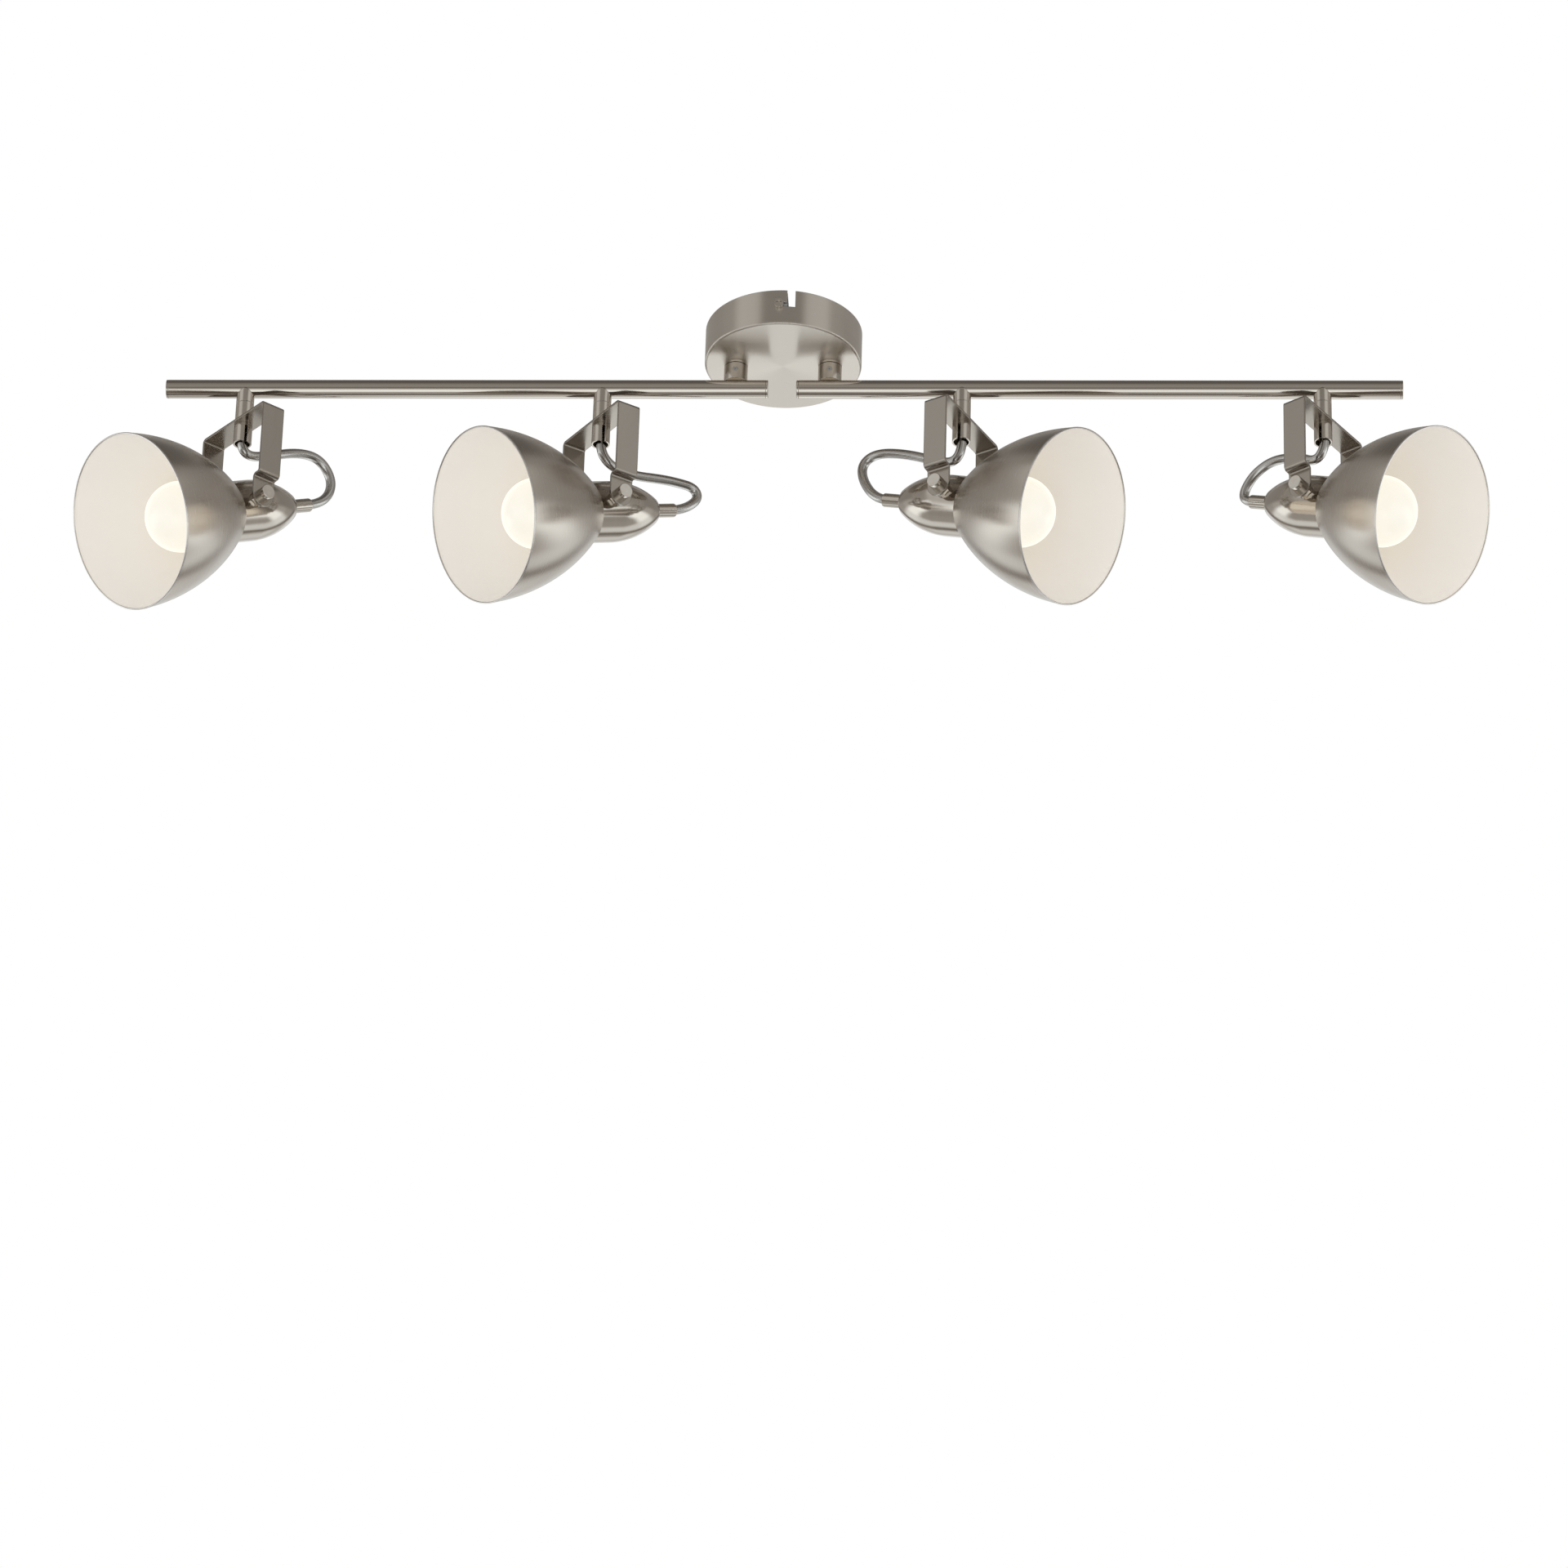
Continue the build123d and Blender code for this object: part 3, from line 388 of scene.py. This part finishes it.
# %% Lacquer and glass
lacquer_tones = ((0.85, 0.815, 0.77, 1.0), (0.88, 0.845, 0.80, 1.0))
glow_tones = ((0.90, 0.80, 0.62, 1.0), (0.925, 0.895, 0.80, 1.0))
glass_tones = ((0.05, 0.045, 0.04, 1.0), (0.03, 0.03, 0.028, 1.0))
milk_share = 0.2


def make_lacquer():
    """White lacquer with a fine orange peel."""
    material, wire, shader = new_finish("white_lacquer", Coat_Weight=0.25, Coat_Roughness=0.2)
    point = wire.node("ShaderNodeTexCoord", output="Object")
    drift = point.noise(scale=30.0, detail=3.0)
    wire.feed(shader.inputs["Base Color"], drift.mix(*lacquer_tones))
    wire.feed(shader.inputs["Roughness"], 0.38 + (drift - 0.5) * 0.1)
    peel = point.noise(scale=420.0, detail=2.0)
    emboss(wire, shader, peel, strength=0.25, depth=0.00004)
    return material


def make_glass(neck, crown):
    """Lit opal glass: emission that deepens from the crown of the globe to its neck."""
    material, wire, shader = new_finish("opal_glass", Emission_Strength=1.0, Roughness=0.25)
    point = wire.node("ShaderNodeTexCoord", output="Object")
    height = (point.dot(plumb) - neck) / (crown - neck)
    milk = point.noise(scale=60.0, detail=2.0)
    level = height * (1 - milk_share) + milk * milk_share
    wire.feed(shader.inputs["Emission Color"], level.mix(*glow_tones))
    wire.feed(shader.inputs["Base Color"], level.mix(*glass_tones))
    return material


lacquer = make_lacquer()
print("lacquer:", lacquer.name)

# %% [markdown]
# ## Spinning a profile
# Shades and bulbs are bodies of revolution. Blender has a Screw modifier for that, but a loop of our own
# lets one profile carry several finishes. The profile is a list of radius and height about the local Z
# axis, and each stretch of it names its finish.

# %% Spin helper
turns = 144
same_place = 1e-7
sharp_angle = radians(40)


def arc(middle, radius, first, last, steps):
    """Points on an arc in the radius and height plane, angles in degrees from the radius direction."""
    angles = [radians(first + (last - first) * step / steps) for step in range(steps + 1)]
    return [(middle[0] + radius * cos(angle), middle[1] + radius * sin(angle)) for angle in angles]


def spin(name, stretches, finishes, place):
    """A mesh spun from stretches of profile, each with the number of its finish."""
    profile = []
    finish_of = []
    for number, points in stretches:
        for point in points:
            if not profile or hypot(point[0] - profile[-1][0], point[1] - profile[-1][1]) > same_place:
                profile.append(point)
                finish_of.append(number)
    rings = []
    vertices = []
    for radius, height in profile:
        count = 1 if radius < same_place else turns
        rings.append((len(vertices), count))
        for turn in range(count):
            angle = 2 * pi * turn / turns
            vertices.append((radius * cos(angle), radius * sin(angle), height))
    faces = []
    numbers = []
    for ring, ((near, near_count), (far, far_count)) in enumerate(zip(rings, rings[1:])):
        for turn in range(turns):
            after = (turn + 1) % turns
            quad = [near + turn % near_count, near + after % near_count]
            quad += [far + after % far_count, far + turn % far_count]
            faces.append(list(dict.fromkeys(quad)))
            numbers.append(finish_of[ring + 1])
    mesh = bpy.data.meshes.new(name)
    mesh.from_pydata(vertices, [], faces)
    for finish in finishes:
        mesh.materials.append(finish)
    mesh.polygons.foreach_set("material_index", numbers)
    mesh.polygons.foreach_set("use_smooth", [True] * len(faces))
    mesh.set_sharp_from_angle(angle=sharp_angle)
    piece = bpy.data.objects.new(name, mesh)
    piece.matrix_world = place
    bpy.context.scene.collection.objects.link(piece)
    return piece


print(f"spun pieces get {turns} sides")

# %% [markdown]
# ## The profile of a bell shade
# Each shade is spun from sheet: a flat seat at the neck, one long arc out to the mouth, and a rim that is
# rolled into a thin bright bead. We could draw the arc by eye, but it is fixed by its two ends and by
# the slope of the sheet at the rim, so a little geometry finds its centre.

# %% Shade profile
housing_front = 0.010
shade_length = 0.0785
rim_radius = 0.0555
neck_radius = 0.02025
seat_radius = 0.0140
sheet = 0.0008
rim_angle = radians(5.0)
bead = 0.00055
bead_inset = 0.00045
bead_sweep = (-60, 200)
bead_steps = 14
bell_steps = 48
seat_turn = 1.5

rim_height = housing_front + shade_length
tangent = (-sin(rim_angle), -cos(rim_angle))
normal = (tangent[1], -tangent[0])
chord = (neck_radius - rim_radius, -shade_length)
swing = (chord[0] ** 2 + chord[1] ** 2) / (2 * (chord[0] * normal[0] + chord[1] * normal[1]))
bell_middle = (rim_radius + swing * normal[0], rim_height + swing * normal[1])
bell_radius = abs(swing)
neck_turn, rim_turn = [
    degrees(atan2(height - bell_middle[1], radius - bell_middle[0]))
    for radius, height in ((neck_radius, housing_front), (rim_radius, rim_height - 2 * bead))
]
outside = arc(bell_middle, bell_radius, neck_turn, rim_turn, bell_steps)
inside = arc(bell_middle, bell_radius - sheet, rim_turn, neck_turn + seat_turn, bell_steps)
rolled = arc((rim_radius - bead_inset, rim_height - bead), bead, *bead_sweep, bead_steps)
seat = [(seat_radius, housing_front + sheet), (seat_radius, housing_front), (neck_radius, housing_front)]
print(f"bell arc of {bell_radius * 1000:.1f} mm from neck to rim")

# %% [markdown]
# ## The bell shades
# The outside is nickel with the lathe's rings in it, the inside is white lacquer and the bead is bright.
# The solid has the same arc and could stay, but it takes one finish. The mesh adds the bead, the pressed
# step at the neck and all three finishes.

# %% Bell shades
spun_nickel = nickel_round("spun_nickel", plumb, Vector(), roughness=0.26, anisotropic=0.7, slow=lengthwise)
bright_rim = clouded(
    "bright_rim",
    grey(0.55, 0.05),
    grey(0.75, 0.05),
    scale=300.0,
    roughness=0.16,
    spread=0.1,
    Metallic=1.0,
)
shade_finishes = [spun_nickel, lacquer, bright_rim]
shade_stretches = [(0, seat), (0, outside), (2, rolled), (1, inside), (1, [inside[-1], seat[0]])]
for name in head_names:
    piece = spin(f"bell_shade_{name}", shade_stretches, shade_finishes, heads[name]["place"])
    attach(piece, f"head_{name}")
    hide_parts(f"shade_{name}")
print(f"{len(head_names)} shades with a rim of {rim_radius * 2000:.0f} mm")

# %% [markdown]
# ## The globe bulbs
# A small lit globe on a screw cap. The glass necks down into the cap, whose thread is rolled from thin
# metal, so its profile is a wave. A helix would be truer, but it hides in the holder, and rings give the
# same look where a little of the cap shows.

# %% Bulb profile
globe_radius = 0.0225
globe_middle = 0.047
globe_steps = 40
neck_angle = 140.0
neck_narrowing = 0.62
neck_drop = 0.006
neck_steps = 12
cap_front = 0.0165
cap_back = -0.0085
cap_radius = 0.0069
cap_lip = 0.0004
cap_foot = 0.004
cap_steps = 60
glass_foot = 0.0085
tip_radius = 0.0035
tip_height = 0.0015
insulator_radius = tip_radius * 1.4
thread_pitch = 0.0025
thread_depth = 0.0005

globe = arc((0.0, globe_middle), globe_radius, 90.0, 90.0 - neck_angle, globe_steps)
neck_pull = (globe[-1][0] * neck_narrowing, globe[-1][1] - neck_drop)
neck_controls = (globe[-1], neck_pull, (glass_foot, cap_front))
neck = []
for step in range(neck_steps + 1):
    share = step / neck_steps
    weights = ((1 - share) ** 2, 2 * share * (1 - share), share**2)
    neck.append(tuple(sum(w * point[axis] for w, point in zip(weights, neck_controls)) for axis in range(2)))
thread = []
for step in range(cap_steps + 1):
    height = cap_front - cap_lip - (cap_front - cap_back - cap_foot) * step / cap_steps
    thread.append((cap_radius - thread_depth * (0.5 + 0.5 * cos(2 * pi * height / thread_pitch)), height))
insulator = [(insulator_radius, thread[-1][1])]
tip = [(tip_radius, cap_back + tip_height), (tip_radius, cap_back), (0.0, cap_back)]
print(f"globe of {globe_radius * 2000:.0f} mm on a {cap_radius * 2000:.1f} mm cap")

# %% Globe bulbs
opal = make_glass(cap_front, globe_middle + globe_radius)
bulb_finishes = [opal, polished, white_plastic]
bulb_stretches = [(0, globe), (0, neck), (1, thread), (2, insulator), (1, tip)]
for name in head_names:
    piece = spin(f"globe_bulb_{name}", bulb_stretches, bulb_finishes, heads[name]["place"])
    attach(piece, f"head_{name}")
    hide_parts(f"bulb_{name}")
print(f"{len(head_names)} bulbs")

# %% [markdown]
# ## The routes of the cables
# A cable leaves each clamp, loops behind the head and goes into the gland at its rear. The points of its
# route are given in the upright plane of the head, forwards from the post axis and up from the
# tilt axis. A NURBS curve with those control points is smooth where a chain of arcs would look like bent
# wire. The last two points lie on the gland's own axis, so that the cable goes in straight.

# %% Cable routes
gland_end = 0.060
routes = {
    "outer_left": (
        (0.0008, 0.0552), (0.0008, 0.0473), (-0.0055, 0.0426), (-0.0180, 0.0476), (-0.0425, 0.0606),
        (-0.0600, 0.0628), (-0.0704, 0.0520), (-0.0696, 0.0395),
    ),
    "inner_left": (
        (0.0002, 0.0554), (0.0002, 0.0450), (-0.0080, 0.0364), (-0.0235, 0.0350), (-0.0460, 0.0400),
        (-0.0575, 0.0416), (-0.0712, 0.0424), (-0.0748, 0.0348),
    ),
    "inner_right": (
        (0.0006, 0.0528), (0.0006, 0.0428), (-0.0056, 0.0352), (-0.0178, 0.0410), (-0.0410, 0.0544),
        (-0.0620, 0.0620), (-0.0730, 0.0570), (-0.0720, 0.0435),
    ),
    "outer_right": (
        (0.0015, 0.0550), (0.0015, 0.0458), (-0.0055, 0.0368), (-0.0185, 0.0456), (-0.0370, 0.0512),
        (-0.0515, 0.0466), (-0.0602, 0.0360),
    ),
}
tails = {
    "outer_left": (0.0075, 0.0120),
    "inner_left": (0.0070, 0.0120),
    "inner_right": (0.0070, 0.0120),
    "outer_right": (0.0060, 0.0070),
}


def in_head(name, ahead, rise):
    """A point in the upright plane of a head, from the middle of its tilt axis."""
    head = heads[name]
    return head["pivot"] + head["forwards"] * ahead + head["upwards"] * rise


def route_points(name):
    """The control points of a cable in the lamp's frame: the chosen points, then two on the gland's axis."""
    points = [in_head(name, ahead, rise) for ahead, rise in routes[name]]
    bend_out, last_run = tails[name]
    for reach in (gland_end + bend_out, gland_end + bend_out - last_run):
        points.append(heads[name]["pivot"] - heads[name]["axis"] * reach)
    return points


def smooth_line(name, points):
    """Points along a NURBS curve with the given control points."""
    curve = bpy.data.curves.new(f"{name}_route", "CURVE")
    curve.dimensions = "3D"
    spline = curve.splines.new("NURBS")
    spline.points.add(len(points) - 1)
    for control, point in zip(spline.points, points):
        control.co = (*point, 1.0)
    spline.order_u = 3
    spline.use_endpoint_u = True
    spline.resolution_u = 36
    route = bpy.data.objects.new(f"{name}_route", curve)
    mesh = bpy.data.meshes.new_from_object(route)
    line = [vertex.co.copy() for vertex in mesh.vertices]
    bpy.data.objects.remove(route)
    bpy.data.curves.remove(curve)
    bpy.data.meshes.remove(mesh)
    return line


def line_length(line):
    """Length of a line of points."""
    return sum((after - before).length for before, after in zip(line, line[1:]))


lines = {name: smooth_line(name, route_points(name)) for name in head_names}
for name, line in lines.items():
    print(f"cable {name}: {len(line)} points, {line_length(line) * 1000:.1f} mm")

# %% [markdown]
# ## The braid under the sheath
# The cable is a tinned braid in a clear, glossy sheath: a metal with a coat over it. An image of a braid
# would need a seamless photo, so the threads are sums instead. The tube carries a UV map, once round and
# once per girth along. Two sets of slanting humps come from it, and a checker of their cells says which
# set lies on top. The colour goes dark in the hollows between the threads: that is painted shade.

# %% Braided finish
threads = 22.0
# braid colours: the dark one is painted shade in the hollows between threads
braid_hollow_shade_tones = ((0.24, 0.23, 0.215, 1.0), (0.72, 0.69, 0.65, 1.0))
fibre_share = 0.3


def make_braid():
    """Tinned braid under a clear sheath: two sets of threads that slant opposite ways, over and under, with
    painted shade in the hollows between them.
    """
    material, wire, shader = new_finish("tinned_braid", Metallic=1.0, Coat_Weight=0.8, Coat_Roughness=0.05)
    place = wire.node("ShaderNodeUVMap", {"uv_map": "braid"})
    girth, length, _ = place.axes()
    left = (girth + length) * threads
    right = (girth - length) * threads
    left_hump = left.math("PINGPONG", left, 0.5) * 2
    right_hump = right.math("PINGPONG", right, 0.5) * 2
    cell = left.math("FLOOR", left) + right.math("FLOOR", right)
    checker = cell.math("PINGPONG", cell, 1.0)
    height = checker * left_hump + (1 - checker) * right_hump
    fibres = place.noise(scale=90.0, detail=3.0)
    tone = height * (1 - fibre_share) + fibres * fibre_share
    # painted shade: the colour follows the thread height, dark in the hollows
    wire.feed(shader.inputs["Base Color"], tone.mix(*braid_hollow_shade_tones))
    wire.feed(shader.inputs["Roughness"], 0.15 + (fibres - 0.5) * 0.1)
    emboss(wire, shader, height, strength=0.3, depth=0.00004)
    return material


braid = make_braid()
print(f"{braid.name}: {threads:.0f} threads each way")

# %% [markdown]
# ## A tube along a line
# A curve's own bevel could give the round section. Our own rings can carry the UV map of the braid and
# very low ribs that wind slowly round the sheath, as the strands under it press through.

# %% Tube helper
cable_radius = 0.0031
cable_sides = 48
ribs = 12
rib_depth = 0.00005
rib_lay = 0.060


def tube_rings(line, sideways):
    """The points of a ribbed tube, ring by ring, and how many girths along each ring lies."""
    vertices = []
    girths = []
    travelled = 0.0
    for step, point in enumerate(line):
        before = line[max(step - 1, 0)]
        after = line[min(step + 1, len(line) - 1)]
        outwards = sideways.cross((after - before).normalized())
        travelled += (point - before).length
        for side in range(cable_sides):
            angle = 2 * pi * side / cable_sides
            wave = cos(ribs * angle + 2 * pi * travelled / rib_lay)
            radius = cable_radius - rib_depth * (0.5 - 0.5 * wave)
            vertices.append(point + (sideways * cos(angle) + outwards * sin(angle)) * radius)
        girths.append(travelled / (2 * pi * cable_radius))
    return vertices, girths


def ribbed_tube(name, line, sideways, finish):
    """A tube with low ribs along a line that lies in the plane square to sideways."""
    vertices, girths = tube_rings(line, sideways)
    faces = []
    places = []
    for ring, (start, end) in enumerate(zip(girths, girths[1:])):
        near = ring * cable_sides
        far = near + cable_sides
        for side in range(cable_sides):
            after = (side + 1) % cable_sides
            faces.append([near + side, near + after, far + after, far + side])
            first = side / cable_sides
            last = (side + 1) / cable_sides
            places += [(first, start), (last, start), (last, end), (first, end)]
    for ring, order in ((0, -1), (len(line) - 1, 1)):
        faces.append([ring * cable_sides + side for side in range(cable_sides)][::order])
        places += [(0.0, 0.0)] * cable_sides
    mesh = bpy.data.meshes.new(name)
    mesh.from_pydata(vertices, [], faces)
    uv = mesh.uv_layers.new(name="braid")
    uv.data.foreach_set("uv", [number for place in places for number in place])
    mesh.materials.append(finish)
    mesh.polygons.foreach_set("use_smooth", [True] * len(faces))
    piece = bpy.data.objects.new(name, mesh)
    bpy.context.scene.collection.objects.link(piece)
    return piece


print(f"cable of {cable_radius * 2000:.1f} mm with {ribs} ribs")

# %% [markdown]
# ## The cables
# One end of a cable sits in the bracket's clamp and the other tilts with the head. A straight line between
# two points of the head's upright plane is given for each head, but the script only works out its ends:
# the tube is baked in place and joins neither body.

# %% Cables
blend_ends = {
    "outer_left": ((-0.0005, 0.0592), (-0.0435, 0.0196)),
    "inner_left": ((0.0016, 0.0292), (-0.0515, 0.0314)),
    "inner_right": ((-0.0065, 0.0621), (-0.0482, 0.0211)),
    "outer_right": ((0.0043, 0.0534), (-0.0522, 0.0561)),
}
for name, line in lines.items():
    piece = ribbed_tube(f"braided_cable_{name}", line, heads[name]["sideways"], braid)
    ends = [in_head(name, ahead, rise) for ahead, rise in blend_ends[name]]
    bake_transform(piece)
    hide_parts(f"cable_{name}")
    line_length(line)
print(f"{len(lines)} cables from clamp to gland")

# %% [markdown]
# ## Finishes on the solids
# The other pieces keep their solids. Each gets the finish of its real counterpart, with its grooves laid
# the way that piece was rubbed: strips along their length, turned posts and glands round their axis. The
# strips of the brackets get darker nickel, as painted shade, and softer edges, as bent strip has.

# %% Dress the canopy and the tubes
def dress(node, finish):
    """Give a solid one finish."""
    for slot in nodes[node].material_slots:
        slot.material = finish


canopy_finishes = {
    "canopy_cup": canopy_nickel,
    "ceiling_bracket": zinc,
    "canopy_screws": polished,
    "terminal_block": white_plastic,
    "stem_studs": polished,
    "stem_washers": zinc,
    "stem_nuts": zinc,
    "canopy_leads": lead_cover,
}
for node, finish in canopy_finishes.items():
    dress(node, finish)
for side in ("left", "right"):
    low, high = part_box(f"stem_sleeve_{side}")
    stem = nickel_round(f"turned_nickel_stem_{side}", plumb, (low + high) / 2, roughness=0.16)
    dress(f"bar_{side}", tube_nickel)
    dress(f"stem_sleeve_{side}", stem)
    dress(f"head_stubs_{side}", nickel_along(f"turned_nickel_stub_{side}", plumb, lengthwise, roughness=0.17))
    dress(f"stem_set_screw_{side}", zinc)
    dress(f"bar_plugs_{side}", polished)
    dress(f"bar_lead_{side}", lead_cover)
print(f"{len(bpy.data.materials)} materials so far")

# %% Dress the heads
# painted shade: the strips get darker nickel tones than the rest of the metal
shaded_strip_look = {
    "roughness": 0.24,
    "edge": 0.0007,
    "tones": ((0.36, 0.322, 0.28, 1.0), (0.42, 0.38, 0.333, 1.0)),
}
for name, head in heads.items():
    post = nickel_round(f"turned_nickel_post_{name}", head["upwards"], head["pivot"], roughness=0.22)
    strip = nickel_along(f"shaded_strip_nickel_{name}", head["forwards"], head["upwards"], **shaded_strip_look)
    bullet = nickel_round(f"turned_nickel_bullet_{name}", head["axis"], head["pivot"], roughness=0.13)
    dress(f"swivel_barrel_{name}", post)
    dress(f"cable_clamp_{name}", post)
    dress(f"u_bracket_{name}", strip)
    dress(f"housing_{name}", bullet)
    dress(f"cable_gland_{name}", bullet)
    dress(f"head_screws_{name}", polished)
    dress(f"lampholder_{name}", white_plastic)
print(f"{len(bpy.data.materials)} materials")

# %% [markdown]
# ## The studio cards
# Metal shows what stands round it. A white room alone would make the nickel white, so the studio has
# cards, as a product photographer would set them: dark overhead and below, mid grey in front, and bright
# ones between that draw the light lines on the tubes. Planes could stand for them, but their hard edges
# would show in the polished metal. So the cards are patches on one big dome, feathered into each other
# and the same to the left and to the right. Each has a turn from the front and a rise above the horizon,
# both in degrees, and a brightness. Dark cards are a little warm and bright ones a little cool.

# %% Cards
cards = {
    "overhead": (-10, 190, 60, 100, 0.15),
    "front_ceiling": (-10, 32, 42, 60, 0.18),
    "front_high": (-10, 32, 24, 42, 0.33),
    "front_level": (-10, 32, -6, 24, 0.38),
    "front_line": (-10, 32, -20, -6, 0.22),
    "front_shade": (-10, 32, -29, -20, 0.42),
    "front_glow": (-10, 32, -38, -29, 0.85),
    "front_lamp": (-10, 32, -52, -38, 1.45),
    "front_skirt": (-10, 32, -64, -52, 1.00),
    "front_hem": (-10, 32, -74, -64, 0.42),
    "front_foot": (-10, 32, -84, -74, 0.22),
    "corner_ceiling": (32, 72, 46, 60, 0.20),
    "corner_window": (32, 72, 24, 46, 0.74),
    "corner_level": (32, 72, -8, 24, 0.65),
    "corner_lamp": (32, 72, -24, -8, 1.10),
    "corner_low": (32, 72, -42, -24, 0.75),
    "corner_foot": (32, 72, -84, -42, 0.60),
    "side_ceiling": (72, 100, 22, 60, 0.37),
    "side_level": (72, 100, 5, 22, 0.40),
    "side_lamp": (72, 100, -18, 5, 1.60),
    "side_low": (72, 100, -42, -18, 0.40),
    "side_foot": (72, 148, -84, -42, 0.15),
    "flank_ceiling": (100, 148, 20, 60, 0.32),
    "flank_level": (100, 122, 5, 20, 0.55),
    "flank_lamp": (100, 122, -16, 5, 1.45),
    "flank_low": (100, 122, -42, -16, 0.45),
    "quarter_level": (122, 148, 5, 20, 0.45),
    "quarter_lamp": (122, 144, -14, 5, 1.10),
    "quarter_low": (122, 144, -42, -14, 0.95),
    "quarter_line": (144, 154, -42, 5, 0.18),
    "back_ceiling": (148, 190, 22, 60, 0.42),
    "back_window": (154, 190, 6, 22, 0.95),
    "back_level": (154, 190, -8, 6, 0.70),
    "back_line": (154, 190, -22, -8, 0.90),
    "back_side": (154, 166, -46, -22, 0.40),
    "back_wall": (166, 190, -46, -22, 1.40),
    "back_shade": (148, 190, -58, -46, 0.70),
    "back_skirt": (148, 190, -74, -58, 0.85),
    "back_foot": (148, 190, -84, -74, 0.20),
    "underfoot": (-10, 190, -100, -84, 0.18),
}
warm_card = (1.0, 0.92, 0.84, 1.0)
cool_card = (0.96, 1.0, 1.02, 1.0)
turn_feather = 6.0
rise_feather = 5.0
dome_radius = 3.2


def window(angle, first, last, feather):
    """1 between two angles and 0 outside them, with a feathered edge."""
    middle = (first + last) / 2
    half = (last - first) / 2
    away = angle.math("ABSOLUTE", angle - middle)
    limits = {"Value": away, "From Min": half + feather, "From Max": max(half - feather, 0.0)}
    return away.node("ShaderNodeMapRange", {"interpolation_type": "SMOOTHSTEP"}, limits)


def make_dome_finish():
    """A glow that follows the cards, by the turn and the rise of each point of the dome."""
    material = bpy.data.materials.new("studio_dome")
    material.use_nodes = True
    material.node_tree.nodes.clear()
    wire = Wire(material.node_tree)
    sideways, ahead, height = wire.node("ShaderNodeTexCoord", output="Object").axes()
    turn = wire.math("ABSOLUTE", wire.math("ARCTAN2", sideways, 0 - ahead) * (180 / pi))
    rise = wire.math("ARCSINE", height / dome_radius) * (180 / pi)
    brightness = 0 * turn
    for turn_from, turn_to, rise_from, rise_to, level in cards.values():
        across = window(turn, turn_from, turn_to, turn_feather)
        brightness = brightness + level * across * window(rise, rise_from, rise_to, rise_feather)
    tint = brightness.mix(warm_card, cool_card)
    lit = tint.vector("MULTIPLY", tint, brightness)
    glow = wire.node("ShaderNodeEmission", {}, {"Color": lit, "Strength": 1.0})
    wire.node("ShaderNodeOutputMaterial", {}, {"Surface": glow})
    return material


dome_finish = make_dome_finish()
print(f"{len(cards)} cards")

# %% [markdown]
# The dome is spun like a shade, from one half circle. Only reflections see it: the camera looks through
# it, it lights no matt surface and it casts no shadow.

# %% Dome
dome_rings = 24
half_circle = arc((0.0, 0.0), dome_radius, -90, 90, dome_rings)
dome = spin("studio_dome", [(0, half_circle)], [dome_finish], Matrix.Identity(4))
dome.visible_camera = False
dome.visible_diffuse = False
dome.visible_shadow = False
dome.visible_transmission = False
print(f"dome of {dome_radius} m")

# %% [markdown]
# ## World and floor
# The room is a plain white world at strength 1, at which a colour renders about as it is written. A pale
# floor lies far below the lamp, under the camera. It could be a curved sweep, but the lamp hangs and
# never touches it, so a plain square is enough.

# %% World and floor
floor_height = -3.4
floor_half = 14.0
floor_corners = ((-1, -1), (1, -1), (1, 1), (-1, 1))

world = bpy.data.worlds.new("white_room")
bpy.context.scene.world = world
world.use_nodes = True
world.node_tree.nodes.clear()
air = Wire(world.node_tree)
light = air.node("ShaderNodeBackground", {}, {"Color": grey(1.0), "Strength": 1.0})
air.node("ShaderNodeOutputWorld", {}, {"Surface": light})

floor_mesh = bpy.data.meshes.new("floor")
floor_points = [(x * floor_half, y * floor_half, floor_height) for x, y in floor_corners]
floor_mesh.from_pydata(floor_points, [], [(0, 1, 2, 3)])
pale_floor = clouded("pale_floor", grey(0.955), grey(0.985), scale=2.0, roughness=0.7, spread=0.1)
floor_mesh.materials.append(pale_floor)
floor = bpy.data.objects.new("floor", floor_mesh)
floor.visible_glossy = False
bpy.context.scene.collection.objects.link(floor)
print(f"floor at {floor_height} m")

# %% [markdown]
# ## Two soft lamps
# The white room lights the lacquer evenly, which would look flat. A weak cool lamp from below and a
# weaker warm one from above give the insides of the shades their slight turn of tone. Reflections don't
# see them, because the cards already stand for the lamps there.

# %% Lamps
def sphere_point(turn, rise):
    """A direction: turn from the front towards +X, rise above the horizon, in degrees."""
    flat = cos(radians(rise))
    return Vector((flat * sin(radians(turn)), -flat * cos(radians(turn)), sin(radians(rise))))


def add_lamp(name, turn, rise, distance, size, watts, colour):
    """A soft square lamp aimed at the middle of the lamp bar."""
    lamp = bpy.data.lights.new(name, "AREA")
    lamp.shape = "SQUARE"
    lamp.size = size
    lamp.energy = watts
    lamp.color = colour
    holder = bpy.data.objects.new(name, lamp)
    place = sphere_point(turn, rise) * distance
    holder.matrix_world = Matrix.Translation(place) @ place.to_track_quat("Z", "Y").to_matrix().to_4x4()
    holder.visible_glossy = False
    bpy.context.scene.collection.objects.link(holder)


add_lamp("key", turn=-25.0, rise=-40.0, distance=2.6, size=1.4, watts=7.0, colour=(0.86, 0.94, 1.0))
add_lamp("fill", turn=45.0, rise=25.0, distance=2.8, size=1.8, watts=5.0, colour=(1.0, 0.95, 0.88))
print(f"{len(bpy.data.lights)} lamps")
